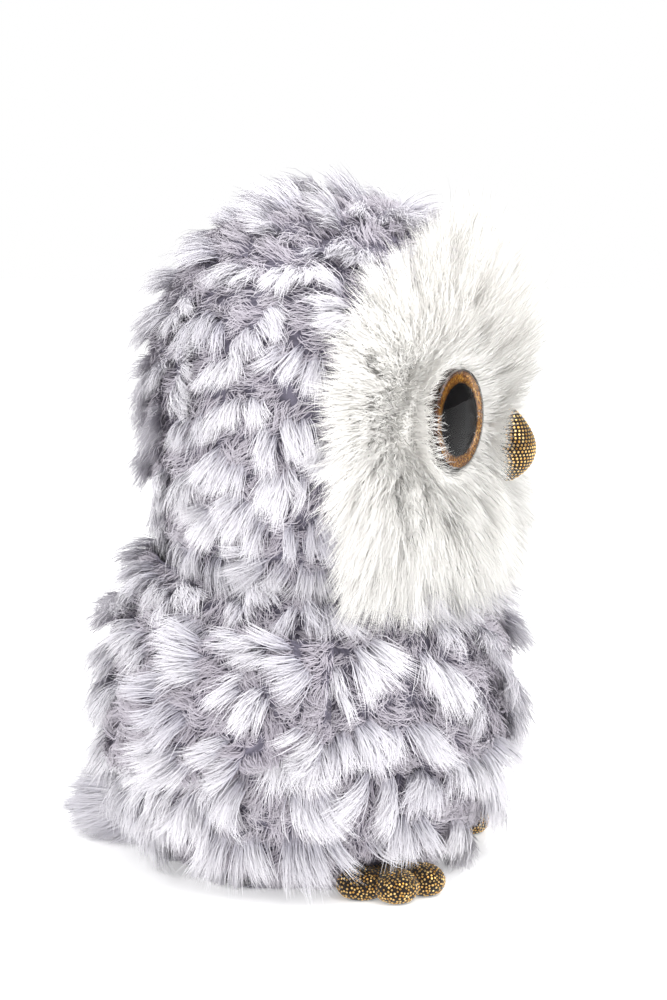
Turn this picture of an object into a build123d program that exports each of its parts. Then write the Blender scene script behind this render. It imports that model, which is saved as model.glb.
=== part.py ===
"""Interactive plush owl: a stuffed body and head around a small battery-driven module that turns the head.

The owl stands on its flat base pad and looks along -Y, with +Z up. Lengths are in millimetres. Inside the
owl, places are measured from the neck axis, the vertical axis that the head turns on.
"""

import os
from dataclasses import dataclass
from math import acos, cos, pi, radians, sin, tan

from build123d import *

os.makedirs("parts", exist_ok=True)


# Overall sizes

head_top = 216.0
head_half_width = 67.0
head_half_depth = 60.0
head_widest = 153.5
body_top = 100.0
body_half_width = 64.5
body_half_depth = 66.5
body_widest = 56.0
body_behind_neck = 6.0
head_behind_neck = -1.0
beak_reach = 68.1
tail_reach = 83.0
neck_y = (beak_reach - tail_reach) / 2

# Soft pieces

skin_thickness = 4.0
soft_clearance = 0.3
turn_gap = 0.6
base_pad_height = 2.5
wing_thickness = 7.5
wing_front = -19.0
wing_root_low = 56.0
wing_root_high = 84.0
wing_tip_back = 58.0
wing_tip_height = 41.0
tail_root_high = 27.0
tail_tip_height = 10.0
tail_half_width = 12.0
tail_half_height = 10.0
toe_radius = 5.0
toe_length = 27.0
toe_spread = 30.0
toe_first_angle = 20.0
foot_root_x = 24.0
foot_root_y = -18.0
face_edge = -21.0
face_top = 203.0
beak_radius = 8.6
beak_low = 125.0
beak_high = 148.5

# Eyes

eye_x = 33.5
eye_y = -49.6
eye_z = 148.0
eye_turn = 15.0
eye_radius = 15.0
iris_radius = 14.3
pupil_radius = 11.3
eye_back_depth = 3.0
eye_disc_thickness = 0.8
lens_height = 5.0
lens_gap = 0.05
eye_stem_radius = 2.5
eye_stem_length = 15.0
washer_radius = 9.0
washer_thickness = 1.5

# Module casing

casing_width = 60.0
casing_depth = 54.0
casing_centre_y = 1.0
casing_corner = 10.0
casing_wall = 2.0
casing_bottom = 1.0
casing_split = 44.0
casing_top_height = 72.0
bay_roof = 16.0
chamber_floor = 18.0
casing_clearance = 0.3
neck_hole_radius = 12.0

# Batteries and their door

cell_radius = 5.25
cell_length = 43.5
cell_nub_radius = 1.9
cell_nub_length = 1.0
cell_pitch = 11.2
cell_count = 3
cell_row_y = 7.15
cell_height = 9.4
bay_half_width = 26.5
bay_half_depth = 17.15
contact_thickness = 0.5
spring_wire_radius = 0.25
contact_spring_radius = 3.2
door_thickness = 1.6
door_lip = 0.6
bay_corner = 2.5
door_gap = 0.3
door_ear_x = -14.0
door_ear_width = 8.0
door_ear_reach = 5.5
door_tab_x = 15.0
door_tab_width = 6.0
door_tab_reach = 1.8

# Gear train

gear_module = 0.5
wheel_teeth = 36
pinion_teeth = 12
pinion_shift = 0.35
gear_backlash = 0.12
pressure_angle = radians(20)
axle_radius = 1.0
axle_play = 0.04
idler_2_bearing = 20.0
idler_1_bearing = 100.0
motor_bearing = 200.0
layer_height = 4.0
layer_gap = 0.6
gear_plate_thickness = 1.5
motor_radius = 10.0
motor_boss_radius = 3.0
shaft_radius = 4.0
shaft_play = 0.05
bearing_wall = 2.0
bearing_flange = 1.5
head_frame_height = 108.0
head_frame_thickness = 3.0
head_frame_radius = 26.0
head_frame_rise = 42.0

# Controls, board and speaker

board_front = -12.0
board_thickness = 1.6
board_half_width = 24.0
board_low = 20.0
board_high = 62.0
button_height = 57.0
button_radius = 7.0
button_travel = 2.0
button_flange = 1.5
button_proud = 3.5
button_play = 0.25
tact_size = 6.0
tact_depth = 3.3
switch_x = 8.0
switch_y = -18.0
switch_travel = 4.0
speaker_radius = 12.0
speaker_height = 31.5
screw_radius = 1.5
screw_head_radius = 2.8
screw_head_height = 2.2
corner_screw_x = 23.0
corner_screw_front = -19.0
corner_screw_back = 21.0
corner_post_radius = 4.5
screw_seat = 50.0
screw_tip = 36.0

# Planes that the sketches are drawn on


def level(height):
    """A horizontal plane centred on the neck axis."""
    return Plane(origin=(0, neck_y, height))


def facing_front(y):
    """An upright plane whose sketches are in X and Z, and whose extrusions go towards the front."""
    return Plane(origin=(0, neck_y + y, 0), x_dir=(1, 0, 0), z_dir=(0, -1, 0))


def facing_left(x):
    """An upright plane whose sketches are in Y and Z, and whose extrusions go towards +X."""
    return Plane(origin=(x, neck_y, 0), x_dir=(0, 1, 0), z_dir=(1, 0, 0))


# Soft forms: stacks of ellipses that follow a rounded outline


@dataclass
class Form:
    half_width: float
    half_depth: float
    middle_y: float
    widest: float
    rise: float
    drop: float
    rise_power: float
    drop_power: float

    def share(self, height):
        """How much of the widest size is left at this height."""
        above = height > self.widest
        reach = self.rise if above else self.drop
        power = self.rise_power if above else self.drop_power
        return (1 - (abs(height - self.widest) / reach) ** power) ** (1 / power)

    def grown(self, amount):
        return Form(
            self.half_width + amount,
            self.half_depth + amount,
            self.middle_y,
            self.widest,
            self.rise + amount,
            self.drop + amount,
            self.rise_power,
            self.drop_power,
        )

    def solid(self, bottom, top, sections=9):
        """The form between two heights, with its sections closer together towards the top."""
        with BuildPart() as form:
            for step in range(sections):
                height = bottom + (top - bottom) * sin(pi / 2 * step / (sections - 1))
                share = self.share(height)
                with BuildSketch(level(height)):
                    with Locations((0, self.middle_y)):
                        Ellipse(self.half_width * share, self.half_depth * share)
            loft()
        return form.part


head_bottom = body_top + turn_gap
crown_cap = 1.0
body_form = Form(body_half_width, body_half_depth, body_behind_neck, body_widest, 68.0, 68.0, 2.2, 2.4)
head_form = Form(
    head_half_width, head_half_depth, head_behind_neck, head_widest, head_top - head_widest + crown_cap,
    76.0, 2.2, 3.0,
)

body_solid = body_form.solid(base_pad_height, body_top)
body_core = body_form.grown(-skin_thickness).solid(base_pad_height, body_top - skin_thickness)
body_cleared = body_form.grown(soft_clearance).solid(base_pad_height, body_top)
head_solid = head_form.solid(head_bottom, head_top)
head_core = head_form.grown(-skin_thickness).solid(head_bottom + skin_thickness, head_top - skin_thickness)

pieces = {}


# Body, base and feet

base_share = body_form.share(base_pad_height)

with BuildSketch(Plane.XY) as module_outline:
    with Locations((0, casing_centre_y)):
        RectangleRounded(
            casing_width + 2 * casing_clearance,
            casing_depth + 2 * casing_clearance,
            casing_corner + casing_clearance,
        )
module_opening = module_outline.sketch

with BuildPart() as base_pad:
    with BuildSketch(level(0)):
        with Locations((0, body_behind_neck)):
            Ellipse(body_half_width * base_share, body_half_depth * base_share)
        add(module_opening, mode=Mode.SUBTRACT)
    extrude(amount=base_pad_height)
pieces["base_pad"] = base_pad

with BuildPart() as body_skin:
    add(body_solid)
    add(body_core, mode=Mode.SUBTRACT)
    with BuildSketch(level(body_top)):
        Circle(neck_hole_radius)
    extrude(amount=-2 * skin_thickness, mode=Mode.SUBTRACT)
    with BuildSketch(level(0)):
        add(module_opening)
    extrude(amount=casing_top_height, mode=Mode.SUBTRACT)
pieces["body_skin"] = body_skin

with BuildPart() as body_filling:
    add(body_core)
    with BuildSketch(level(0)):
        add(module_opening)
    extrude(amount=casing_top_height + casing_clearance, mode=Mode.SUBTRACT)
    with BuildSketch(level(casing_top_height)):
        Circle(neck_hole_radius)
    extrude(amount=body_top - casing_top_height, mode=Mode.SUBTRACT)
    with BuildSketch(facing_front(0)):
        with Locations((0, button_height)):
            Circle(button_radius + soft_clearance)
    extrude(amount=casing_depth / 2 - casing_centre_y + button_proud + soft_clearance, mode=Mode.SUBTRACT)
pieces["body_filling"] = body_filling

foot_clearance = 0.2
foot_web_radius = 16.0

with BuildPart() as right_foot:
    for toe in range(3):
        angle = 180 + toe_first_angle + toe * toe_spread
        direction = Vector(cos(radians(angle)), sin(radians(angle)), 0)
        root = Vector(-foot_root_x, neck_y + foot_root_y, toe_radius - 0.6)
        along = Plane(origin=root, z_dir=direction)
        with BuildSketch(along):
            Circle(toe_radius)
        extrude(amount=toe_length - toe_radius)
        with Locations(root + direction * (toe_length - toe_radius)):
            Sphere(toe_radius)
    with BuildSketch(level(1)):
        with Locations((-foot_root_x, foot_root_y)):
            Circle(foot_web_radius)
    extrude(amount=toe_radius)
    with BuildSketch(level(0)):
        with Locations((-foot_root_x, foot_root_y)):
            Rectangle(4 * toe_length, 4 * toe_length)
    extrude(amount=3 * toe_radius, mode=Mode.INTERSECT)
    add(body_form.grown(foot_clearance).solid(base_pad_height, body_top), mode=Mode.SUBTRACT)
    with BuildSketch(level(0)):
        with Locations((0, body_behind_neck)):
            Ellipse(
                body_half_width * base_share + foot_clearance,
                body_half_depth * base_share + foot_clearance,
            )
    extrude(amount=base_pad_height, mode=Mode.SUBTRACT)
pieces["right_foot"] = right_foot

with BuildPart() as left_foot:
    mirror(right_foot.part, about=Plane.YZ)
pieces["left_foot"] = left_foot


# Wings: flaps that lie on the body and hang from a seam along their front edge

with BuildPart() as right_wing:
    add(body_form.grown(soft_clearance + wing_thickness).solid(base_pad_height, body_top))
    with BuildSketch(facing_left(0)):
        with BuildLine():
            Spline(
                (wing_front, wing_root_high),
                (wing_front + 32, wing_root_high + 2),
                (wing_tip_back - 13, wing_tip_height + 27),
                (wing_tip_back, wing_tip_height),
            )
            Spline(
                (wing_tip_back, wing_tip_height),
                (wing_tip_back - 30, wing_tip_height + 1),
                (wing_front, wing_root_low),
            )
            Line((wing_front, wing_root_low), (wing_front, wing_root_high))
        make_face()
    extrude(amount=-2 * body_half_width, mode=Mode.INTERSECT)
    add(body_cleared, mode=Mode.SUBTRACT)
pieces["right_wing"] = right_wing

with BuildPart() as left_wing:
    mirror(right_wing.part, about=Plane.YZ)
pieces["left_wing"] = left_wing


# Tail: a short stuffed tuft low on the back

tail_root_y = body_half_depth * 0.75

with BuildPart() as tail:
    for y, height, size in (
        (tail_root_y, tail_root_high - tail_half_height, 1.0),
        ((tail_root_y + tail_reach) / 2, (tail_root_high - tail_half_height + tail_tip_height) / 2, 0.95),
        (tail_reach, tail_tip_height, 0.45),
    ):
        with BuildSketch(facing_front(y)):
            with Locations((0, height)):
                Ellipse(tail_half_width * size, tail_half_height * size)
    loft()
    add(body_cleared, mode=Mode.SUBTRACT)
pieces["tail"] = tail


# Head: a skin at the back, a face panel in front, and the filling inside both

face_round = 24.0

with BuildPart() as face_zone:
    with BuildSketch(facing_left(0)):
        with BuildLine():
            Line((-2 * head_half_depth, 0), (face_edge, 0))
            Line((face_edge, 0), (face_edge, face_top - 2 * face_round))
            ThreePointArc(
                (face_edge, face_top - 2 * face_round),
                (face_edge - 0.42 * face_round, face_top - 0.75 * face_round),
                (face_edge - 1.5 * face_round, face_top),
            )
            Line((face_edge - 1.5 * face_round, face_top), (-2 * head_half_depth, face_top))
            Line((-2 * head_half_depth, face_top), (-2 * head_half_depth, 0))
        make_face()
    extrude(amount=2 * head_half_width, both=True)

eye_normal = Vector(-sin(radians(eye_turn)), -cos(radians(eye_turn)), 0)
eye_centre = Vector(-eye_x, neck_y + eye_y, eye_z)


def eye_plane(depth):
    """A plane across the right eye, this far in front of its backing disc."""
    return Plane(origin=eye_centre + eye_normal * depth, z_dir=eye_normal)


with BuildPart() as right_socket:
    with BuildSketch(eye_plane(-eye_back_depth)):
        Circle(eye_radius + 0.2)
    extrude(amount=eye_back_depth + 3 * lens_height)
    with BuildSketch(eye_plane(-eye_back_depth)):
        Circle(eye_stem_radius + 0.1)
    extrude(amount=-eye_stem_length - 0.5)
    with BuildSketch(eye_plane(-eye_back_depth - eye_stem_length / 2)):
        Circle(washer_radius + 0.2)
    extrude(amount=-washer_thickness - 0.2)

with BuildPart() as sockets:
    add(right_socket.part)
    mirror(right_socket.part, about=Plane.YZ)

with BuildPart() as head_skin:
    add(head_solid)
    add(head_core, mode=Mode.SUBTRACT)
    add(face_zone.part, mode=Mode.SUBTRACT)
    with BuildSketch(level(head_bottom)):
        Circle(neck_hole_radius)
    extrude(amount=2 * skin_thickness, mode=Mode.SUBTRACT)
pieces["head_skin"] = head_skin

with BuildPart() as face_panel:
    add(head_solid)
    add(face_zone.part, mode=Mode.INTERSECT)
    add(head_core, mode=Mode.SUBTRACT)
    add(sockets.part, mode=Mode.SUBTRACT)
    with BuildSketch(level(head_bottom)):
        Circle(neck_hole_radius)
    extrude(amount=2 * skin_thickness, mode=Mode.SUBTRACT)
pieces["face_panel"] = face_panel

with BuildPart() as beak:
    beak_y = beak_radius - beak_reach
    with BuildSketch(facing_left(0)):
        with BuildLine():
            Spline((beak_y, beak_low), (beak_y + beak_radius, beak_low + 9.5), (beak_y, beak_high))
            Line((beak_y, beak_high), (beak_y, beak_low))
        make_face()
    revolve(axis=Axis((0, neck_y + beak_y, 0), (0, 0, 1)))
    add(head_solid, mode=Mode.SUBTRACT)
pieces["beak"] = beak


# Eyes: clear domed lens, glitter iris ring, pupil disc and a back with its stem and locking washer

with BuildPart() as right_eye_back:
    with BuildSketch(eye_plane(-eye_back_depth)):
        Circle(eye_radius)
    extrude(amount=eye_back_depth)
    with BuildSketch(eye_plane(-eye_back_depth)):
        Circle(eye_stem_radius)
    extrude(amount=-eye_stem_length)

with BuildPart() as right_eye_pupil:
    with BuildSketch(eye_plane(0)):
        Circle(pupil_radius)
    extrude(amount=eye_disc_thickness)

with BuildPart() as right_eye_iris:
    with BuildSketch(eye_plane(0)):
        Circle(iris_radius)
        Circle(pupil_radius, mode=Mode.SUBTRACT)
    extrude(amount=eye_disc_thickness)

lens_ball_radius = (eye_radius**2 + lens_height**2) / (2 * lens_height)

with BuildPart() as right_eye_lens:
    with Locations(eye_centre + eye_normal * (eye_disc_thickness + lens_height - lens_ball_radius)):
        Sphere(lens_ball_radius)
    with BuildSketch(eye_plane(lens_gap)):
        Circle(eye_radius)
    extrude(amount=2 * lens_height, mode=Mode.INTERSECT)
    with BuildSketch(eye_plane(lens_gap)):
        Circle(iris_radius + lens_gap)
    extrude(amount=eye_disc_thickness, mode=Mode.SUBTRACT)

with BuildPart() as right_eye_washer:
    with BuildSketch(eye_plane(-eye_back_depth - eye_stem_length / 2)):
        Circle(washer_radius)
        Circle(eye_stem_radius, mode=Mode.SUBTRACT)
    extrude(amount=-washer_thickness)

right_eye = {
    "eye_back": right_eye_back,
    "eye_pupil": right_eye_pupil,
    "eye_iris": right_eye_iris,
    "eye_lens": right_eye_lens,
    "eye_washer": right_eye_washer,
}
for name, piece in right_eye.items():
    with BuildPart() as left_piece:
        mirror(piece.part, about=Plane.YZ)
    pieces[f"right_{name}"] = piece
    pieces[f"left_{name}"] = left_piece


# Gear train: the places of the four shafts, and which heights the three pairs of gears take

wheel_radius = gear_module * wheel_teeth / 2
pinion_radius = gear_module * pinion_teeth / 2
shaft_spacing = wheel_radius + pinion_radius
gear_plate_top = casing_split + 0.5
gear_plate_low = gear_plate_top - gear_plate_thickness
layer_a = gear_plate_top + 0.5
layer_b = layer_a + layer_height + layer_gap
layer_c = layer_b + layer_height + layer_gap


def step_from(place, bearing):
    """The place one shaft spacing away from another, in this direction in degrees."""
    return (
        place[0] + shaft_spacing * cos(radians(bearing)),
        place[1] + shaft_spacing * sin(radians(bearing)),
    )


neck_place = (0.0, 0.0)
idler_2_place = step_from(neck_place, idler_2_bearing)
idler_1_place = step_from(idler_2_place, idler_1_bearing)
motor_place = step_from(idler_1_place, motor_bearing)


def involute(angle):
    return tan(angle) - angle


def tooth_outline(teeth, shift):
    """Radius and half angle of a tooth at points from its root to its tip."""
    pitch_radius = gear_module * teeth / 2
    base_radius = pitch_radius * cos(pressure_angle)
    tip_radius = pitch_radius + gear_module * (1 + shift)
    root_radius = pitch_radius - gear_module * (1.25 - shift)
    thickness = gear_module * (pi / 2 + 2 * shift * tan(pressure_angle)) - gear_backlash / 2
    half_angle = thickness / (2 * pitch_radius) + involute(pressure_angle)
    flank_start = max(base_radius, root_radius)
    outline = []
    if root_radius < base_radius:
        outline.append((root_radius, half_angle))
    flank_steps = 5
    for step in range(flank_steps + 1):
        radius = flank_start + (tip_radius - flank_start) * step / flank_steps
        outline.append((radius, half_angle - involute(acos(min(1, base_radius / radius)))))
    return outline


def gear_points(place, teeth, shift, phase):
    """The corners of a gear's outline, tooth by tooth, with one tooth centred on the phase angle."""
    flank = tooth_outline(teeth, shift)
    points = []
    for tooth in range(teeth):
        centre = phase + 2 * pi * tooth / teeth
        sides = [(radius, centre - half) for radius, half in flank]
        sides += [(radius, centre + half) for radius, half in reversed(flank)]
        points += [(place[0] + r * cos(a), place[1] + r * sin(a)) for r, a in sides]
    return points


def meshed_phase(phase, teeth, bearing, other_teeth):
    """The phase of a gear in mesh with another one that lies against this bearing."""
    turned = (radians(bearing) - phase) * teeth / (2 * pi)
    return radians(bearing) + pi - 2 * pi / other_teeth * (0.5 - turned)


def gear_face(height, place, teeth, shift, phase):
    """A gear's face sketched at this height, ready to extrude."""
    with BuildSketch(level(height)) as face:
        with BuildLine():
            Polyline(*gear_points(place, teeth, shift, phase), close=True)
        make_face()
    return face.sketch


output_phase = 0.0
idler_2_pinion_phase = meshed_phase(output_phase, wheel_teeth, idler_2_bearing, pinion_teeth)
idler_1_pinion_phase = meshed_phase(0.0, wheel_teeth, idler_1_bearing, pinion_teeth)
motor_pinion_phase = meshed_phase(0.0, wheel_teeth, motor_bearing, pinion_teeth)

idler_bottom = gear_plate_top + 0.2
pinion_overrun = 0.3

with BuildPart() as idler_gear_1:
    add(gear_face(layer_a, idler_1_place, wheel_teeth, -pinion_shift, 0.0))
    extrude(amount=layer_height)
    add(gear_face(layer_a + layer_height, idler_1_place, pinion_teeth, pinion_shift, idler_1_pinion_phase))
    extrude(amount=layer_gap + layer_height)
    with BuildSketch(level(idler_bottom)):
        with Locations(idler_1_place):
            Circle(2 * axle_radius)
    extrude(amount=layer_a - idler_bottom)
    with BuildSketch(level(idler_bottom)):
        with Locations(idler_1_place):
            Circle(axle_radius + axle_play)
    extrude(amount=4 * layer_height, mode=Mode.SUBTRACT)
pieces["idler_gear_1"] = idler_gear_1

with BuildPart() as idler_gear_2:
    add(gear_face(layer_b, idler_2_place, wheel_teeth, -pinion_shift, 0.0))
    extrude(amount=layer_height)
    add(gear_face(layer_b + layer_height, idler_2_place, pinion_teeth, pinion_shift, idler_2_pinion_phase))
    extrude(amount=layer_gap + layer_height + pinion_overrun)
    with BuildSketch(level(idler_bottom)):
        with Locations(idler_2_place):
            Circle(2 * axle_radius)
    extrude(amount=layer_b - idler_bottom)
    with BuildSketch(level(idler_bottom)):
        with Locations(idler_2_place):
            Circle(axle_radius + axle_play)
    extrude(amount=5 * layer_height, mode=Mode.SUBTRACT)
pieces["idler_gear_2"] = idler_gear_2

idler_1_top = layer_a + 2 * layer_height + layer_gap
idler_2_top = layer_b + 2 * layer_height + layer_gap + pinion_overrun
socket_gap = 0.4
axle_top = casing_top_height - casing_wall - 4.0

with BuildPart() as output_gear:
    add(gear_face(layer_c, neck_place, wheel_teeth, -pinion_shift, output_phase))
    extrude(amount=layer_height)
    with BuildSketch(level(layer_c)):
        Circle(shaft_radius)
    extrude(amount=layer_height, mode=Mode.SUBTRACT)
pieces["output_gear"] = output_gear

with BuildPart() as motor_pinion:
    add(gear_face(layer_a - 0.2, motor_place, pinion_teeth, pinion_shift, motor_pinion_phase))
    extrude(amount=layer_height + 0.4)
    with BuildSketch(level(layer_a - 0.2)):
        with Locations(motor_place):
            Circle(axle_radius)
    extrude(amount=2 * layer_height, mode=Mode.SUBTRACT)
pieces["motor_pinion"] = motor_pinion

motor_shaft_depth = 6.0

with BuildPart() as motor_shaft:
    with BuildSketch(level(gear_plate_low - motor_shaft_depth + 0.3)):
        with Locations(motor_place):
            Circle(axle_radius)
    extrude(amount=layer_a + layer_height + 0.6 - gear_plate_low + motor_shaft_depth - 0.3)
pieces["motor_shaft"] = motor_shaft

with BuildPart() as motor:
    with BuildSketch(level(chamber_floor + 0.2)):
        with Locations(motor_place):
            Circle(motor_radius)
    extrude(amount=gear_plate_low - chamber_floor - 0.2)
    with BuildSketch(level(gear_plate_low)):
        with Locations(motor_place):
            Circle(motor_boss_radius)
    extrude(amount=gear_plate_thickness - 0.2)
    with BuildSketch(level(gear_plate_top)):
        with Locations(motor_place):
            Circle(axle_radius + axle_play)
    extrude(amount=-gear_plate_thickness - motor_shaft_depth, mode=Mode.SUBTRACT)
pieces["motor"] = motor

corner_screw_places = [
    (side * corner_screw_x, y) for side in (-1, 1) for y in (corner_screw_front, corner_screw_back)
]
plate_centre = (1.0, 10.75)
plate_width = 42.0
plate_depth = 29.5
plate_screw_places = ((-14.5, 20.0), (18.0, 0.5))
axle_places = (idler_1_place, idler_2_place)

with BuildPart() as gear_plate:
    with BuildSketch(level(gear_plate_low)):
        with Locations(plate_centre):
            RectangleRounded(plate_width, plate_depth, 3)
        with Locations(*corner_screw_places):
            Circle(corner_post_radius + casing_clearance, mode=Mode.SUBTRACT)
        with Locations(motor_place):
            Circle(motor_boss_radius + axle_play, mode=Mode.SUBTRACT)
        with Locations(*axle_places):
            Circle(axle_radius, mode=Mode.SUBTRACT)
        with Locations(*plate_screw_places):
            Circle(screw_radius, mode=Mode.SUBTRACT)
    extrude(amount=gear_plate_thickness)
pieces["gear_plate"] = gear_plate

with BuildPart() as gear_axles:
    with BuildSketch(level(gear_plate_low)):
        with Locations(*axle_places):
            Circle(axle_radius)
    extrude(amount=axle_top - gear_plate_low)
pieces["gear_axles"] = gear_axles

plate_screw_depth = 8.0

with BuildPart() as plate_screws:
    with BuildSketch(level(gear_plate_low - plate_screw_depth)):
        with Locations(*plate_screw_places):
            Circle(screw_radius)
    extrude(amount=plate_screw_depth + gear_plate_thickness)
    with BuildSketch(level(gear_plate_top)):
        with Locations(*plate_screw_places):
            Circle(screw_head_radius)
    extrude(amount=screw_head_height)
pieces["plate_screws"] = plate_screws


# Neck: a shaft in a flanged bearing, carrying the frame that the head is stuffed over

bearing_low = layer_c + layer_height + 1.5
bearing_top = casing_top_height + bearing_flange
shaft_flange_low = bearing_top + 0.2
shaft_flange_radius = 7.0
shaft_screw_depth = 14.0

with BuildPart() as neck_bearing:
    with BuildSketch(level(bearing_low)):
        Circle(shaft_radius + bearing_wall)
    extrude(amount=bearing_top - bearing_low)
    with BuildSketch(level(casing_top_height)):
        Circle(shaft_flange_radius + 1)
    extrude(amount=bearing_flange)
    with BuildSketch(level(bearing_low)):
        Circle(shaft_radius + shaft_play)
    extrude(amount=bearing_top - bearing_low, mode=Mode.SUBTRACT)
pieces["neck_bearing"] = neck_bearing

with BuildPart() as neck_shaft:
    with BuildSketch(level(layer_c)):
        Circle(shaft_radius)
    extrude(amount=head_frame_height + head_frame_thickness - layer_c)
    with BuildSketch(level(shaft_flange_low)):
        Circle(shaft_flange_radius)
    extrude(amount=bearing_flange)
    with BuildSketch(level(head_frame_height + head_frame_thickness)):
        Circle(screw_radius)
    extrude(amount=-shaft_screw_depth, mode=Mode.SUBTRACT)
pieces["neck_shaft"] = neck_shaft

hub_radius = 8.0
hub_height = 14.0
rib_count = 4
rib_thickness = 3.0
rib_width = 7.0
ring_height = 4.0

with BuildPart() as head_frame:
    with BuildSketch(level(head_frame_height)):
        Circle(head_frame_radius)
    extrude(amount=head_frame_thickness)
    with BuildSketch(level(head_frame_height)):
        Circle(hub_radius)
    extrude(amount=-hub_height)
    with BuildSketch(level(head_frame_height + head_frame_thickness)):
        with PolarLocations(head_frame_radius - rib_width / 2, rib_count, start_angle=45):
            Rectangle(rib_width, rib_thickness)
    extrude(amount=head_frame_rise)
    with BuildSketch(level(head_frame_height + head_frame_thickness + head_frame_rise)):
        Circle(head_frame_radius)
        Circle(head_frame_radius - rib_width, mode=Mode.SUBTRACT)
    extrude(amount=-ring_height)
    with BuildSketch(level(head_frame_height - hub_height)):
        Circle(shaft_radius)
    extrude(amount=hub_height + head_frame_thickness, mode=Mode.SUBTRACT)
pieces["head_frame"] = head_frame

with BuildPart() as head_frame_screw:
    with BuildSketch(level(head_frame_height + head_frame_thickness)):
        Circle(hub_radius - 1)
    extrude(amount=screw_head_height)
    with BuildSketch(level(head_frame_height + head_frame_thickness)):
        Circle(screw_radius)
    extrude(amount=-shaft_screw_depth + 2)
pieces["head_frame_screw"] = head_frame_screw

with BuildPart() as head_filling:
    add(head_core)
    with BuildSketch(level(head_bottom)):
        Circle(neck_hole_radius)
    extrude(amount=head_frame_height - head_bottom, mode=Mode.SUBTRACT)
    add(head_frame.part, mode=Mode.SUBTRACT)
    add(head_frame_screw.part, mode=Mode.SUBTRACT)
    add(neck_shaft.part, mode=Mode.SUBTRACT)
    add(sockets.part, mode=Mode.SUBTRACT)
pieces["head_filling"] = head_filling


# Casing: a tub with the battery bay under its floor, and a cover that holds the neck bearing

casing_front = casing_depth / 2 - casing_centre_y
inner_width = casing_width - 2 * casing_wall
inner_depth = casing_depth - 2 * casing_wall
recess_height = door_thickness + 0.1
recess_half_width = bay_half_width + door_lip
recess_half_depth = bay_half_depth + door_lip
ear_y = cell_row_y - recess_half_depth - door_ear_reach / 2
tab_back = cell_row_y + recess_half_depth + door_tab_reach
switch_middle_x = switch_x + switch_travel / 2
rail_gap = 0.1
rail_width = 1.2
rail_reach = 4.2


def casing_outline(width, depth, corner):
    with BuildSketch(Plane.XY) as outline:
        with Locations((0, casing_centre_y)):
            RectangleRounded(width, depth, corner)
    return outline.sketch


def door_outline(gap):
    """The battery door's outline with its screw ear, larger all round by this gap."""
    with BuildSketch(Plane.XY) as outline:
        with Locations((0, cell_row_y)):
            RectangleRounded(
                2 * (recess_half_width + gap), 2 * (recess_half_depth + gap), bay_corner + door_lip + gap
            )
        with Locations((door_ear_x, ear_y + 0.5)):
            Rectangle(door_ear_width + 2 * gap, door_ear_reach + 1 + 2 * gap)
    return outline.sketch


with BuildPart() as casing_base:
    with BuildSketch(level(casing_bottom)):
        add(casing_outline(casing_width, casing_depth, casing_corner))
    extrude(amount=casing_split - casing_bottom)
    with BuildSketch(level(chamber_floor)):
        add(casing_outline(inner_width, inner_depth, casing_corner - casing_wall))
    extrude(amount=casing_split - chamber_floor, mode=Mode.SUBTRACT)
    with BuildSketch(level(chamber_floor)):
        with Locations(*corner_screw_places):
            Circle(corner_post_radius)
        with Locations(*plate_screw_places):
            Circle(corner_post_radius - 1)
    extrude(amount=gear_plate_low - chamber_floor)
    with BuildSketch(level(gear_plate_low)):
        with Locations(*corner_screw_places):
            Circle(corner_post_radius)
    extrude(amount=casing_split - gear_plate_low)
    with BuildSketch(level(casing_split)):
        with Locations(*corner_screw_places):
            Circle(screw_radius)
    extrude(amount=screw_tip - casing_split - 1, mode=Mode.SUBTRACT)
    with BuildSketch(level(gear_plate_low)):
        with Locations(*plate_screw_places):
            Circle(screw_radius)
    extrude(amount=-plate_screw_depth - 1, mode=Mode.SUBTRACT)
    # Rails that the circuit board slides down between
    with BuildSketch(level(chamber_floor)):
        for side in (-1, 1):
            for y in (
                board_front - rail_gap - rail_width / 2,
                board_front + board_thickness + rail_gap + rail_width / 2,
            ):
                with Locations((side * (inner_width / 2 - rail_reach / 2 + 0.5), y)):
                    Rectangle(rail_reach + 1, rail_width)
    extrude(amount=casing_split - chamber_floor - 2)
    # Battery bay, the recess for its door, and the door's catches and screw hole
    with BuildSketch(level(casing_bottom)):
        with Locations((0, cell_row_y)):
            RectangleRounded(2 * bay_half_width, 2 * bay_half_depth, bay_corner)
    extrude(amount=bay_roof - casing_bottom, mode=Mode.SUBTRACT)
    with BuildSketch(level(casing_bottom)):
        add(door_outline(0))
    extrude(amount=recess_height, mode=Mode.SUBTRACT)
    with BuildSketch(level(casing_bottom + recess_height)):
        for side in (-1, 1):
            with Locations((side * door_tab_x, cell_row_y + recess_half_depth)):
                Rectangle(door_tab_width + 1, 2 * door_tab_reach + 0.4)
    extrude(amount=1.5, mode=Mode.SUBTRACT)
    with BuildSketch(level(casing_bottom)):
        with Locations((door_ear_x, ear_y)):
            Circle(screw_radius)
    extrude(amount=11, mode=Mode.SUBTRACT)
    # Pocket and slot for the power switch
    with BuildSketch(level(casing_bottom + casing_wall)):
        with Locations((switch_middle_x, switch_y)):
            Rectangle(20, 10)
    extrude(amount=chamber_floor - casing_bottom, mode=Mode.SUBTRACT)
    with BuildSketch(level(casing_bottom)):
        with Locations((switch_middle_x, switch_y)):
            Rectangle(switch_travel + 4.6, 4.6)
    extrude(amount=casing_wall, mode=Mode.SUBTRACT)
    # Sound slots in front of the speaker
    with BuildSketch(facing_front(-casing_front)):
        with Locations((0, speaker_height)):
            with GridLocations(0, 4, 1, 5):
                SlotOverall(14, 1.8)
    extrude(amount=-casing_wall, mode=Mode.SUBTRACT)
pieces["casing_base"] = casing_base

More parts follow.
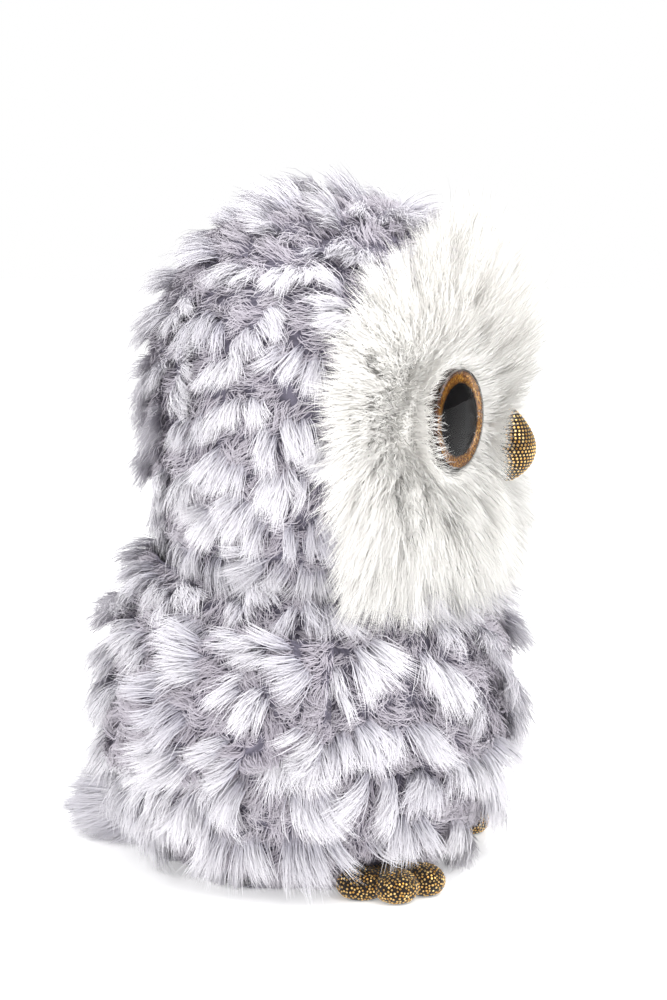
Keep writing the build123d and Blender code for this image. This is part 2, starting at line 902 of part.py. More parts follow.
with BuildPart() as casing_cover:
    with BuildSketch(level(casing_split)):
        add(casing_outline(casing_width, casing_depth, casing_corner))
    extrude(amount=casing_top_height - casing_split)
    with BuildSketch(level(casing_split)):
        add(casing_outline(inner_width, inner_depth, casing_corner - casing_wall))
    extrude(amount=casing_top_height - casing_wall - casing_split, mode=Mode.SUBTRACT)
    with BuildSketch(level(casing_split)):
        with Locations(*corner_screw_places):
            Circle(corner_post_radius)
    extrude(amount=casing_top_height - casing_split)
    with BuildSketch(level(casing_top_height - casing_wall)):
        Circle(shaft_radius + bearing_wall + 3)
    extrude(amount=bearing_low - casing_top_height + casing_wall)
    for place, gear_top in ((idler_1_place, idler_1_top), (idler_2_place, idler_2_top)):
        with BuildSketch(level(casing_top_height - casing_wall)):
            with Locations(place):
                Circle(3 * axle_radius)
        extrude(amount=gear_top + socket_gap - casing_top_height + casing_wall)
        with BuildSketch(level(gear_top)):
            with Locations(place):
                Circle(axle_radius)
        extrude(amount=axle_top - gear_top, mode=Mode.SUBTRACT)
    with BuildSketch(level(0)):
        Circle(shaft_radius + bearing_wall)
    extrude(amount=casing_top_height, mode=Mode.SUBTRACT)
    with Locations(level(casing_top_height)):
        with Locations(*corner_screw_places):
            CounterBoreHole(screw_radius, screw_head_radius + 0.3, casing_top_height - screw_seat)
    with BuildSketch(facing_front(-casing_front)):
        with Locations((0, button_height)):
            Circle(button_radius + button_play)
    extrude(amount=-casing_wall, mode=Mode.SUBTRACT)
pieces["casing_cover"] = casing_cover

with BuildPart() as casing_screws:
    with BuildSketch(level(screw_tip)):
        with Locations(*corner_screw_places):
            Circle(screw_radius)
    extrude(amount=screw_seat - screw_tip)
    with BuildSketch(level(screw_seat)):
        with Locations(*corner_screw_places):
            Circle(screw_head_radius)
    extrude(amount=screw_head_height)
pieces["casing_screws"] = casing_screws


# Batteries

cell_end = bay_half_width - contact_thickness
cell_start = cell_end - cell_nub_length - cell_length
cell_ys = [cell_row_y + cell_pitch * (number - (cell_count - 1) / 2) for number in range(cell_count)]
cell_places = [(y, cell_height) for y in cell_ys]

with BuildPart() as battery_cells:
    with BuildSketch(facing_left(cell_start)):
        with Locations(*cell_places):
            Circle(cell_radius)
    extrude(amount=cell_length)
    with BuildSketch(facing_left(cell_start + cell_length)):
        with Locations(*cell_places):
            Circle(cell_nub_radius)
    extrude(amount=cell_nub_length)
pieces["battery_cells"] = battery_cells

with BuildPart() as positive_contacts:
    with BuildSketch(facing_left(cell_end)):
        with Locations(*cell_places):
            RectangleRounded(6.8, 6.8, 1)
    extrude(amount=contact_thickness)
pieces["positive_contacts"] = positive_contacts

with BuildPart() as negative_contacts:
    with BuildSketch(facing_left(-bay_half_width)):
        with Locations(*cell_places):
            RectangleRounded(6.8, 6.8, 1)
    extrude(amount=contact_thickness)
pieces["negative_contacts"] = negative_contacts


def coil_spring(foot, direction, length, coil_radius, wire_radius, turns):
    """A coil spring that stands on its foot point and is this long, with room for the wire at both ends."""
    rise = length - 2.1 * wire_radius
    with BuildPart() as spring:
        with BuildLine() as line:
            Helix(
                pitch=rise / turns,
                height=rise,
                radius=coil_radius,
                center=foot + direction * (1.05 * wire_radius),
                direction=direction,
            )
        coil = line.edges()[0]
        with BuildSketch(Plane(origin=coil @ 0, z_dir=coil % 0)):
            Circle(wire_radius)
        sweep()
    return spring.part


with BuildPart() as battery_springs:
    for y in cell_ys:
        add(
            coil_spring(
                Vector(-bay_half_width + contact_thickness, neck_y + y, cell_height),
                Vector(1, 0, 0),
                cell_start + bay_half_width - contact_thickness,
                contact_spring_radius,
                spring_wire_radius,
                4,
            )
        )
pieces["battery_springs"] = battery_springs

with BuildPart() as battery_door:
    with BuildSketch(level(casing_bottom)):
        add(door_outline(-door_gap))
    extrude(amount=door_thickness)
    for side in (-1, 1):
        with BuildSketch(level(casing_bottom + door_thickness)):
            with Locations((side * door_tab_x, cell_row_y + recess_half_depth - door_gap - 2)):
                Rectangle(door_tab_width, 4)
        extrude(amount=1.3)
        with BuildSketch(level(casing_bottom + recess_height + 0.1)):
            with Locations((side * door_tab_x, tab_back - 3)):
                Rectangle(door_tab_width, 6)
        extrude(amount=1.1)
    with BuildSketch(level(casing_bottom)):
        with Locations((door_ear_x, ear_y)):
            Circle(screw_radius)
    extrude(amount=door_thickness, mode=Mode.SUBTRACT)
pieces["battery_door"] = battery_door

door_screw_head = 0.7

with BuildPart() as battery_door_screw:
    with BuildSketch(level(casing_bottom)):
        with Locations((door_ear_x, ear_y)):
            Circle(screw_radius)
    extrude(amount=10)
    with BuildSketch(level(casing_bottom)):
        with Locations((door_ear_x, ear_y)):
            Circle(screw_head_radius)
    extrude(amount=-door_screw_head)
pieces["battery_door_screw"] = battery_door_screw


# Power switch: a knob that slides in a slot of the underside

with BuildPart() as power_switch_knob:
    with BuildSketch(level(casing_bottom - 0.3)):
        with Locations((switch_x, switch_y)):
            RectangleRounded(4.0, 4.0, 0.8)
    extrude(amount=casing_wall + 0.5)
    with BuildSketch(level(casing_bottom + casing_wall + 0.2)):
        with Locations((switch_x, switch_y)):
            Rectangle(9, 7)
    extrude(amount=1)
pieces["power_switch_knob"] = power_switch_knob

with BuildPart() as power_switch_body:
    with BuildSketch(level(casing_bottom + casing_wall + 1.5)):
        with Locations((switch_middle_x, switch_y)):
            Rectangle(18, 8)
    extrude(amount=5)
pieces["power_switch_body"] = power_switch_body


# Circuit board, the parts on it and the squeeze button in front of it

button_flange_back = -casing_front + casing_wall + button_flange + 0.2
stem_end = board_front - tact_depth - button_travel - 0.2

with BuildPart() as circuit_board:
    with BuildSketch(facing_front(board_front)):
        with Locations((0, (board_low + board_high) / 2)):
            Rectangle(2 * board_half_width, board_high - board_low)
    extrude(amount=-board_thickness)
pieces["circuit_board"] = circuit_board

with BuildPart() as tact_switch:
    with BuildSketch(facing_front(board_front)):
        with Locations((0, button_height)):
            Rectangle(tact_size, tact_size - 1)
    extrude(amount=tact_depth - 1)
    with BuildSketch(facing_front(board_front - tact_depth + 1)):
        with Locations((0, button_height)):
            Circle(1.7)
    extrude(amount=1)
pieces["tact_switch"] = tact_switch

with BuildPart() as sound_chip:
    with BuildSketch(facing_front(board_front)):
        with Locations((16, 52)):
            Rectangle(9, 9)
    extrude(amount=1.6)
pieces["sound_chip"] = sound_chip

with BuildPart() as board_capacitors:
    with BuildSketch(facing_front(board_front)):
        with Locations((-14, 57), (-14, 50)):
            Circle(2.5)
    extrude(amount=6)
pieces["board_capacitors"] = board_capacitors

with BuildPart() as squeeze_button:
    with BuildSketch(facing_front(button_flange_back)):
        with Locations((0, button_height)):
            Circle(button_radius)
    extrude(amount=button_flange_back + casing_front + button_proud)
    with BuildSketch(facing_front(button_flange_back)):
        with Locations((0, button_height)):
            Circle(button_radius + 1.5)
    extrude(amount=button_flange)
    with BuildSketch(facing_front(button_flange_back)):
        with Locations((0, button_height)):
            Circle(3)
    extrude(amount=-(stem_end - button_flange_back))
    front_rim = squeeze_button.edges().group_by(Axis.Y)[0]
    fillet(front_rim, 1.2)
pieces["squeeze_button"] = squeeze_button

with BuildPart() as button_spring:
    spring_foot = Vector(0, neck_y + board_front, button_height)
    add(coil_spring(spring_foot, Vector(0, -1, 0), board_front - button_flange_back, 5.0, 0.35, 4))
pieces["button_spring"] = button_spring


# Speaker behind the slots of the front wall

speaker_front = -casing_front + casing_wall
speaker_place = (0, speaker_height)

with BuildPart() as speaker_frame:
    with BuildSketch(facing_front(speaker_front + 4)):
        with Locations(speaker_place):
            Circle(speaker_radius)
    extrude(amount=4)
    with BuildSketch(facing_front(speaker_front + 3)):
        with Locations(speaker_place):
            Circle(speaker_radius - 1.5)
    extrude(amount=3, mode=Mode.SUBTRACT)
pieces["speaker_frame"] = speaker_frame

with BuildPart() as speaker_cone:
    with BuildSketch(facing_front(speaker_front + 2.2)):
        with Locations(speaker_place):
            Circle(4)
    with BuildSketch(facing_front(speaker_front + 0.8)):
        with Locations(speaker_place):
            Circle(speaker_radius - 1.5)
    loft()
pieces["speaker_cone"] = speaker_cone

with BuildPart() as speaker_magnet:
    with BuildSketch(facing_front(speaker_front + 8.5)):
        with Locations(speaker_place):
            Circle(8)
    extrude(amount=4.5)
    fillet(speaker_magnet.edges().group_by(Axis.Y)[-1], 0.6)
pieces["speaker_magnet"] = speaker_magnet


# Every piece is labelled and written to its own file

for name, piece in pieces.items():
    piece.part.label = name
    export_step(piece.part, f"parts/{name}.step")

print("neck axis at y", neck_y)
for name, place in (("idler 2", idler_2_place), ("idler 1", idler_1_place), ("motor", motor_place)):
    print(name, "at", place[0], neck_y + place[1])
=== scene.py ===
"""The looks of the interactive plush owl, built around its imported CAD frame.

Lengths are in metres in the frame's own axes: the owl stands at z = 0 and looks along -Y. The CAD surfaces
run through the middle of the fur, so each fur grows from a skin a little below them.
"""

from dataclasses import dataclass
from math import cos, pi, radians, sin

import bpy
import numpy as np
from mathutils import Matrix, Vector
from mathutils.bvhtree import BVHTree


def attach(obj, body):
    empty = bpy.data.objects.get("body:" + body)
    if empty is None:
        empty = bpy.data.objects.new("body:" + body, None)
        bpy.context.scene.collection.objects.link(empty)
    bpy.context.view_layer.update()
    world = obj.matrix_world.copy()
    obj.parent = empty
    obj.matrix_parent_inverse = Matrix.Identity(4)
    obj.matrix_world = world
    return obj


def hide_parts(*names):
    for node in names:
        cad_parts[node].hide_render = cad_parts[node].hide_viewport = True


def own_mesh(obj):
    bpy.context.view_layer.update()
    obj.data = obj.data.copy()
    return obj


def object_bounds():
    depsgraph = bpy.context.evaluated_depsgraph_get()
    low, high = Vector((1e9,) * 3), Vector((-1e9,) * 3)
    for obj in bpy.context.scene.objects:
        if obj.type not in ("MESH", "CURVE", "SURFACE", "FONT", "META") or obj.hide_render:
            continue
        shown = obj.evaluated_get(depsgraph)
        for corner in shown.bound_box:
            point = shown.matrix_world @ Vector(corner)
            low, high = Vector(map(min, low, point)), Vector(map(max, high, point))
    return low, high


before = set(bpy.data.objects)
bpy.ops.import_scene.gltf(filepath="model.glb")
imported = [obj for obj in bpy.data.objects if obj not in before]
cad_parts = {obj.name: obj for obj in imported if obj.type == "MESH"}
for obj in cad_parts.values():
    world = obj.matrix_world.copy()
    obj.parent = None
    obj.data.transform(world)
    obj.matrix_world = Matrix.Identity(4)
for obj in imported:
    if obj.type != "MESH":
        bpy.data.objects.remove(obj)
cad_box = [list(corner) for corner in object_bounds()]
rng = np.random.default_rng(20)

# Sizes that the CAD also has

neck_y = -0.00745
head_bottom = 0.1006
body_top = 0.1
base_pad_height = 0.0025
face_edge = -0.021
face_top = 0.203
face_round = 0.024
eye_centre = np.array([0.0335, neck_y - 0.0496, 0.148])
eye_turn = radians(15)
eye_radius = 0.015
pupil_radius = 0.0107
beak_axis_y = neck_y - 0.0595
beak_radius = 0.0086
beak_low = 0.125
beak_high = 0.1485
toe_radius = 0.005
toes = [(radians(16), 0.024, 1.45), (radians(43), 0.0305, 1.3), (radians(70), 0.031, 1.15)]
foot_root = np.array([0.024, neck_y - 0.018, toe_radius - 0.0006])
wing_front = neck_y - 0.019
wing_root_low = 0.056
wing_root_high = 0.084
wing_tip = np.array([neck_y + 0.058, 0.041])
pile_depth = 0.006
body_pile_depth = 0.004


# Colours and materials


def colour(red, green, blue):
    """An sRGB colour of 0 to 255 as the linear colour that the shaders take."""
    channels = np.array([red, green, blue]) / 255
    linear = np.where(channels <= 0.04045, channels / 12.92, ((channels + 0.055) / 1.055) ** 2.4)
    return (*linear.tolist(), 1.0)


def new_material(name, roughness=0.6, **inputs):
    """A material with one Principled shader, and a function that adds nodes to it."""
    material = bpy.data.materials.new(name)
    material.use_nodes = True
    shader = material.node_tree.nodes["Principled BSDF"]
    shader.inputs["Roughness"].default_value = roughness
    for socket, value in inputs.items():
        shader.inputs[socket.replace("_", " ")].default_value = value
    return material


def node(material, kind, **inputs):
    """A new shader node, with each input either linked from another node's socket or set to a value."""
    made = material.node_tree.nodes.new(kind)
    for name, value in inputs.items():
        socket = made.inputs[name.replace("_", " ")]
        if isinstance(value, bpy.types.NodeSocket):
            material.node_tree.links.new(value, socket)
        else:
            socket.default_value = value
    return made


def link(material, output, socket):
    material.node_tree.links.new(output, material.node_tree.nodes["Principled BSDF"].inputs[socket])


def ramp(material, factor, stops):
    """A colour ramp node through stops of (position, colour)."""
    made = node(material, "ShaderNodeValToRGB", Fac=factor)
    elements = made.color_ramp.elements
    elements[0].position, elements[0].color = stops[0]
    elements[1].position, elements[1].color = stops[-1]
    for position, stop_colour in stops[1:-1]:
        elements.new(position).color = stop_colour
    return made.outputs["Color"]


def mix(material, factor, first, second, blend="MIX"):
    made = material.node_tree.nodes.new("ShaderNodeMix")
    made.data_type = "RGBA"
    made.blend_type = blend
    for socket, value in ((made.inputs[0], factor), (made.inputs[6], first), (made.inputs[7], second)):
        if isinstance(value, bpy.types.NodeSocket):
            material.node_tree.links.new(value, socket)
        else:
            socket.default_value = value
    return made.outputs[2]


def own_place(material):
    """The place of a point in the object's own coordinates."""
    return material.node_tree.nodes.new("ShaderNodeTexCoord").outputs["Object"]


def bump(material, height, strength, distance):
    made = node(material, "ShaderNodeBump", Height=height, Strength=strength, Distance=distance)
    link(material, made.outputs["Normal"], "Normal")


def strand_parts(material):
    """The tone of a strand, which is the same along it, and the share of the way from its root to its tip."""
    uv = material.node_tree.nodes.new("ShaderNodeUVMap")
    uv.uv_map = "strand"
    split = node(material, "ShaderNodeSeparateXYZ", Vector=uv.outputs["UV"])
    return split.outputs["X"], split.outputs["Y"]


def pile_material(name, dark_strand, light_strand):
    """Fur whose colour runs from root to tip, between a dark kind of strand and a light kind."""
    material = new_material(
        name, roughness=0.62, Specular_IOR_Level=0.25, Sheen_Weight=0.25, Sheen_Roughness=0.5
    )
    tone, along = strand_parts(material)
    dark, light = ramp(material, along, dark_strand), ramp(material, along, light_strand)
    mixed = mix(material, tone, dark, light)
    link(material, mixed, "Base Color")
    return material


tuft_pile = pile_material(
    "tuft_pile",
    [
        (0.0, colour(136, 133, 149)),
        (0.3, colour(166, 163, 177)),
        (0.6, colour(198, 195, 205)),
        (1.0, colour(219, 217, 223)),
    ],
    [
        (0.0, colour(146, 143, 160)),
        (0.25, colour(196, 193, 204)),
        (0.5, colour(229, 227, 232)),
        (1.0, colour(246, 244, 247)),
    ],
)
under_pile = pile_material(
    "under_pile",
    [(0.0, colour(142, 135, 149)), (0.5, colour(174, 167, 178)), (1.0, colour(196, 190, 198))],
    [(0.0, colour(166, 159, 171)), (0.5, colour(203, 198, 206)), (1.0, colour(224, 220, 226))],
)
white_pile = pile_material(
    "white_pile",
    [(0.0, colour(238, 235, 231)), (0.4, colour(243, 241, 237)), (1.0, colour(247, 245, 241))],
    [(0.0, colour(242, 240, 236)), (0.4, colour(249, 247, 244)), (1.0, colour(252, 251, 248))],
)


def backing_material(name, base):
    """The knitted backing under a fur, in fine rows of loops."""
    material = new_material(name, roughness=0.9, Specular_IOR_Level=0.1)
    place = own_place(material)
    rows = node(material, "ShaderNodeTexWave", Vector=place, Scale=420.0, Distortion=1.5).outputs["Fac"]
    shaded = (*(0.7 * channel for channel in base[:3]), 1.0)
    link(material, ramp(material, rows, [(0.0, base), (1.0, shaded)]), "Base Color")
    bump(material, rows, 0.3, 0.0004)
    return material


grey_backing = backing_material("grey_backing", colour(120, 116, 130))
white_backing = backing_material("white_backing", colour(240, 238, 234))


# Small helpers for vectors and meshes


def unit(vectors):
    return vectors / np.maximum(np.linalg.norm(vectors, axis=-1, keepdims=True), 1e-12)


def corners(made):
    """The places of an object's vertices."""
    return np.array([vertex.co for vertex in made.data.vertices])


def circle(count):
    """Evenly spaced angles, once round."""
    return np.linspace(0, 2 * pi, count, endpoint=False)


def dot(first, second):
    return (first * second).sum(-1, keepdims=True)


def flattened(directions, normals):
    """The directions with the part along the normals taken out, as unit vectors."""
    return unit(directions - normals * dot(directions, normals))


def add_object(name, data):
    made = bpy.data.objects.new(name, data)
    bpy.context.scene.collection.objects.link(made)
    return made


def new_object(name, points, faces, material, smooth=True):
    mesh = bpy.data.meshes.new(name)
    mesh.from_pydata([tuple(p) for p in points], [], [tuple(f) for f in faces])
    mesh.materials.append(material)
    if smooth:
        mesh.shade_smooth()
    else:
        mesh.shade_flat()
    return add_object(name, mesh)


def add_piece(name, skin, material, body, slot, *replaced, fill=None):
    """Makes a piece that rides on a body and stands for CAD pieces; the fill is not used."""
    made = new_object(name, skin.points, skin.faces, material)
    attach(made, body)
    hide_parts(*replaced)
    return made


# Skins: closed surfaces that the fur grows from


@dataclass
class Skin:
    points: np.ndarray
    faces: np.ndarray
    normals: np.ndarray

    @property
    def triangles(self):
        return np.concatenate([self.faces[:, [0, 1, 2]], self.faces[:, [0, 2, 3]]])


@dataclass
class Form:
    """A stack of ellipses that follows a rounded outline, as in the CAD."""

    half_width: float
    half_depth: float
    middle_y: float
    widest: float
    rise: float
    drop: float
    rise_power: float
    drop_power: float

    def grown(self, amount):
        return Form(
            self.half_width + amount, self.half_depth + amount, self.middle_y, self.widest,
            self.rise + amount, self.drop + amount, self.rise_power, self.drop_power,
        )

    def share(self, height):
        above = height > self.widest
        reach = np.where(above, self.rise, self.drop)
        power = np.where(above, self.rise_power, self.drop_power)
        return np.clip(1 - (np.abs(height - self.widest) / reach) ** power, 0, 1) ** (1 / power)

    def skin(self, bottom, top, rings=60, around=120):
        """The form's surface between two heights, its rings closer together near the top."""
        heights = bottom + (top - bottom) * np.sin(np.linspace(0, pi / 2, rings))
        turns = circle(around)
        share = self.share(heights)[:, None]
        points = np.stack(
            [
                self.half_width * share * np.cos(turns),
                self.middle_y + self.half_depth * share * np.sin(turns),
                np.repeat(heights[:, None], around, axis=1),
            ],
            axis=-1,
        )
        return grid_skin(points)


def grid_skin(points):
    """A skin from rows of points that each close on themselves, with its normals pointing outwards."""
    rings, around = points.shape[:2]
    index = np.arange(rings * around).reshape(rings, around)
    beside = np.roll(index, -1, axis=1)
    faces = np.stack([index[:-1], beside[:-1], beside[1:], index[1:]], axis=-1).reshape(-1, 4)
    along = np.gradient(points, axis=0)
    across = np.roll(points, -1, axis=1) - np.roll(points, 1, axis=1)
    normals = unit(np.cross(across, along))
    normals[-1] = normals[-2]
    return Skin(points.reshape(-1, 3), faces, normals.reshape(-1, 3))


body_form = Form(0.0645, 0.0665, neck_y + 0.006, 0.056, 0.068, 0.068, 2.2, 2.4)
head_form = Form(0.067, 0.060, neck_y - 0.001, 0.1535, 0.0635, 0.076, 2.2, 3.0).grown(-pile_depth)
body_skin = body_form.grown(-body_pile_depth).skin(base_pad_height, body_top - 0.001)
head_skin = head_form.skin(head_bottom + 0.001, head_form.widest + head_form.rise - 0.0004)


def is_face(places):
    """Whether each place on the head lies in the white face."""
    y = places[..., 1] - neck_y
    z = places[..., 2]
    corner = face_top - 2 * face_round
    share = np.clip((z - corner) / (face_top - corner), 0, 1)
    edge = face_edge - 1.5 * face_round * (1 - np.sqrt(1 - share**2))
    return (y < edge) & (z < face_top)


# Fur: tapering ribbons that follow strands


def scatter(skin, count):
    """Places spread evenly over a skin by area, with their normals."""
    triangles = skin.triangles
    ends = skin.points[triangles]
    area = np.linalg.norm(np.cross(ends[:, 1] - ends[:, 0], ends[:, 2] - ends[:, 0]), axis=1)
    picked = rng.choice(len(area), count, p=area / area.sum())
    a, b = rng.random((2, count))
    over = a + b > 1
    a, b = np.where(over, 1 - a, a), np.where(over, 1 - b, b)
    weights = np.stack([1 - a - b, a, b], axis=1)[..., None]
    return (ends[picked] * weights).sum(1), unit((skin.normals[triangles[picked]] * weights).sum(1))


def spaced(places, spacing):
    """Picks places, in their given order, that keep at least this far apart."""
    kept = []
    for number, place in enumerate(places):
        if not kept or np.min(np.linalg.norm(places[kept] - place, axis=1)) > spacing:
            kept.append(number)
    return np.array(kept)


def grow(roots, normals, headings, lengths, lean_from, lean_to, curl=0.0, joints=5, frizz=0.00022):
    """Strands that leave the skin near its normal, lean over towards their heading and waver a little."""
    count = len(roots)
    middle = ((np.arange(joints - 1) + 0.5) / (joints - 1))[None, :, None]
    lean = np.reshape(lean_from, (-1, 1, 1)) * (1 - middle) + np.reshape(lean_to, (-1, 1, 1)) * middle
    turn = np.reshape(curl, (-1, 1, 1)) * middle
    n, h = normals[:, None], headings[:, None]
    turned = h * np.cos(turn) + np.cross(n, h) * np.sin(turn)
    tangents = n * np.cos(lean) + turned * np.sin(lean)
    steps = np.cumsum(tangents * (np.reshape(lengths, (-1, 1, 1)) / (joints - 1)), axis=1)
    paths = np.zeros((count, joints, 3))
    paths[:, 0] = roots
    paths[:, 1:] = roots[:, None] + steps + rng.normal(0, frizz, steps.shape)
    return paths


def gathered(paths, locks, strength, power=1.4):
    """Draws the strands of each lock together towards their tips."""
    count = locks.max() + 1
    totals = np.zeros((count, *paths.shape[1:]))
    np.add.at(totals, locks, paths)
    members = np.maximum(np.bincount(locks, minlength=count), 1)
    guides = (totals / members[:, None, None])[locks]
    share = (np.linspace(0, 1, paths.shape[1]) ** power * strength)[None, :, None]
    return paths + (guides - paths) * share


floor_gap = 0.0004
strands_per_piece = 27000
allowance = 0.0128
lowest = np.array(cad_box[0]) - allowance
highest = np.array(cad_box[1]) + allowance
lowest[2] = floor_gap


def ribbon_mesh(name, paths, normals, width, tones, material):
    """One mesh of tapering ribbons, two points to each joint of a strand and one at its tip."""
    count, joints = paths.shape[:2]
    tangents = unit(np.gradient(paths, axis=1))
    flat = unit(np.cross(tangents, normals[:, None]))
    twist = rng.normal(0, 0.5, (count, 1, 1))
    across = flat * np.cos(twist) + np.cross(tangents, flat) * np.sin(twist)
    taper = np.array([0.8, *np.linspace(1.0, 0.45, joints - 2), 0.0])[None, :, None]
    half = across * taper * np.reshape(width, (-1, 1, 1)) / 2
    left, right = paths - half, paths + half
    pairs = np.stack([left[:, :-1], right[:, :-1]], axis=2).reshape(count, -1, 3)
    points = np.concatenate([pairs, paths[:, -1:]], axis=1)
    points = np.clip(points, lowest, highest)
    per_strand = 2 * (joints - 1) + 1
    loops = [[2 * j, 2 * j + 1, 2 * j + 3, 2 * j + 2] for j in range(joints - 2)]
    loops = np.array(sum(loops, []) + [per_strand - 3, per_strand - 2, per_strand - 1])
    sizes = np.array([4] * (joints - 2) + [3])
    all_loops = (np.arange(count)[:, None] * per_strand + loops).ravel()
    all_sizes = np.tile(sizes, count)
    mesh = bpy.data.meshes.new(name)
    mesh.vertices.add(count * per_strand)
    mesh.vertices.foreach_set("co", points.reshape(-1).astype(np.float32))
    mesh.loops.add(len(all_loops))
    mesh.loops.foreach_set("vertex_index", all_loops.astype(np.int32))
    mesh.polygons.add(len(all_sizes))
    mesh.polygons.foreach_set("loop_start", (np.cumsum(all_sizes) - all_sizes).astype(np.int32))
    mesh.update(calc_edges=True)
    along = np.append(np.repeat(np.arange(joints - 1), 2), joints - 1) / (joints - 1)
    side = np.append(np.tile([-1.0, 1.0], joints - 1), 0.0)
    tone = np.clip(np.reshape(tones, (-1, 1)), 0.02, 0.98) + 0.008 * side
    strand_uv = np.stack([tone, np.broadcast_to(0.01 + 0.98 * along, tone.shape)], axis=-1)
    strand_uv = strand_uv.reshape(-1, 2)[all_loops]
    for layer in ("strand", "OFBake"):
        mesh.uv_layers.new(name=layer).data.foreach_set("uv", strand_uv.reshape(-1).astype(np.float32))
    faced = unit(np.cross(across, tangents))
    faced = np.where(dot(faced, normals[:, None]) < 0, -faced, faced)
    shading = unit(0.85 * normals[:, None] + 0.15 * faced)
    shading = np.concatenate([np.repeat(shading[:, :-1], 2, axis=1), shading[:, -1:]], axis=1)
    mesh.shade_smooth()
    mesh.normals_split_custom_set_from_vertices(shading.reshape(-1, 3).tolist())
    mesh.materials.append(material)
    return add_object(name, mesh)


def add_fur(name, body, paths, normals, width, tones, material, shadow_share=0.5):
    """Makes fur pieces that ride on a body, as many as it takes to keep each one small.

    Light passes through pale fur, so only a share of the pieces cast shadows."""
    pieces = -(-len(paths) // strands_per_piece)
    shuffled = rng.permutation(len(paths))
    for number, chosen in enumerate(np.array_split(shuffled, pieces)):
        piece_width = width if np.isscalar(width) else width[chosen]
        fur = ribbon_mesh(
            f"{name}_{number + 1}", paths[chosen], normals[chosen], piece_width, tones[chosen], material
        )
        fur.visible_shadow = number < pieces * shadow_share
        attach(fur, body)


def wander(places, seed, scale):
    """A smooth random number from -1 to 1 at each place, for drifting directions."""
    waves = np.random.default_rng(seed)
    total = np.zeros(len(places))
    for _ in range(4):
        direction = unit(waves.normal(size=3)) * waves.uniform(0.6, 1.4) / scale
        total += np.sin(places @ direction + waves.uniform(0, 2 * pi))
    return total / 4


down = np.array([0.0, 0.0, -1.0])


def tufts(centres, normals, headings, spacing, strands, length, fan, tone):
    """Fans of long silky strands, one fan to each centre, drawn into locks."""
    count = len(centres)
    across = np.cross(normals, headings)
    locks_each = 11
    lock_s = np.sort(rng.uniform(-1, 1, (count, locks_each)), axis=1)
    lock_r = rng.uniform(-1, 1, (count, locks_each))
    lock_length = rng.uniform(0.82, 1.12, (count, locks_each))
    lock = rng.integers(0, locks_each, (count, strands))
    row = np.arange(count)[:, None]
    s = lock_s[row, lock] + rng.normal(0, 0.14, (count, strands))
    r = lock_r[row, lock] + rng.normal(0, 0.25, (count, strands))
    width = spacing * rng.uniform(0.36, 0.5, (count, 1))
    depth = spacing * 0.17
    roots = (
        centres[:, None]
        + across[:, None] * (s * width)[..., None]
        + headings[:, None] * (r * depth)[..., None]
        - normals[:, None] * 0.0012
    )
    spread = s * fan * rng.uniform(0.3, 1.3, (count, 1)) + rng.normal(0, 0.08, (count, strands))
    heading = headings[:, None] * np.cos(spread)[..., None] + across[:, None] * np.sin(spread)[..., None]
    lift = unit(normals[:, None] + across[:, None] * (s * 0.25)[..., None])
    lengths = length[:, None] * lock_length[row, lock] * rng.uniform(0.6, 1.06, (count, strands))
    lock_curl = rng.normal(0, 0.3, (count, locks_each)) + rng.normal(0, 0.35, (count, 1))
    curl = lock_curl[row, lock] + rng.normal(0, 0.12, (count, strands))
    lean_from = rng.uniform(0.0, 0.35, (count, 1)) + rng.normal(0, 0.12, (count, strands)) + 0.12 * (r + 1)
    lean_to = rng.uniform(1.15, 1.7, (count, 1)) + rng.normal(0, 0.18, (count, strands))
    heading = flattened(heading, lift)
    paths = grow(
        roots.reshape(-1, 3), lift.reshape(-1, 3), heading.reshape(-1, 3), lengths.ravel(),
        lean_from.ravel(), lean_to.ravel(), curl.ravel(),
    )
    paths = gathered(paths, (row * locks_each + lock).ravel(), 0.22)
    tones = tone[:, None] + rng.normal(0, 0.08, (count, strands)) - 0.12 * (r - 1) / 2
    return paths, lift.reshape(-1, 3), np.clip(tones.ravel(), 0, 1)


def undercoat(roots, normals, headings, length, curl_size=0.0045):
    """Short curly strands in small swirls, whose strands share one way of curling."""
    swirl_at = spaced(roots[:6000], curl_size)
    tree_of = nearest(roots, roots[swirl_at])
    turn = rng.uniform(-2.4, 2.4, len(swirl_at))[tree_of]
    aside = rng.uniform(-1.4, 1.4, len(swirl_at))[tree_of] + rng.normal(0, 0.2, len(roots))
    heading = headings * np.cos(aside)[:, None] + np.cross(normals, headings) * np.sin(aside)[:, None]
    lengths = length * rng.uniform(0.7, 1.25, len(roots))
    paths = grow(
        roots - normals * 0.001, normals, heading, lengths,
        rng.uniform(0.1, 0.5, len(roots)), rng.uniform(1.3, 2.0, len(roots)),
        turn + rng.normal(0, 0.3, len(roots)), joints=4,
    )
    paths = gathered(paths, tree_of, 0.35)
    tone = np.clip(0.5 + rng.normal(0, 0.2, len(swirl_at))[tree_of] + rng.normal(0, 0.15, len(roots)), 0, 1)
    return paths, tone


def nearest(places, centres):
    """The number of the centre nearest to each place."""
    found = np.empty(len(places), int)
    for start in range(0, len(places), 4000):
        part = places[start : start + 4000]
        found[start : start + 4000] = np.argmin(
            ((part[:, None] - centres[None]) ** 2).sum(-1), axis=1
        )
    return found


# Body fur


def clear_of_toes(paths, reach):
    """Which strands stay away from the toes, so that these show below the fur."""
    ends = paths.reshape(-1, 3)
    inside = np.zeros(len(ends), bool)
    for side in (-1, 1):
        for angle, length, _ in toes:
            direction = np.array([side * cos(angle), -sin(angle), 0.0])
            offset = ends - foot_root * [side, 1, 1]
            along = np.clip(offset @ direction, 0, length)
            distance = np.linalg.norm((offset - direction * along[:, None])[:, :2], axis=1)
            inside |= (distance < reach) & (ends[:, 2] < 2.15 * toe_radius)
    return ~inside.reshape(paths.shape[:2]).any(axis=1)


body_tuft_spacing = 0.0145


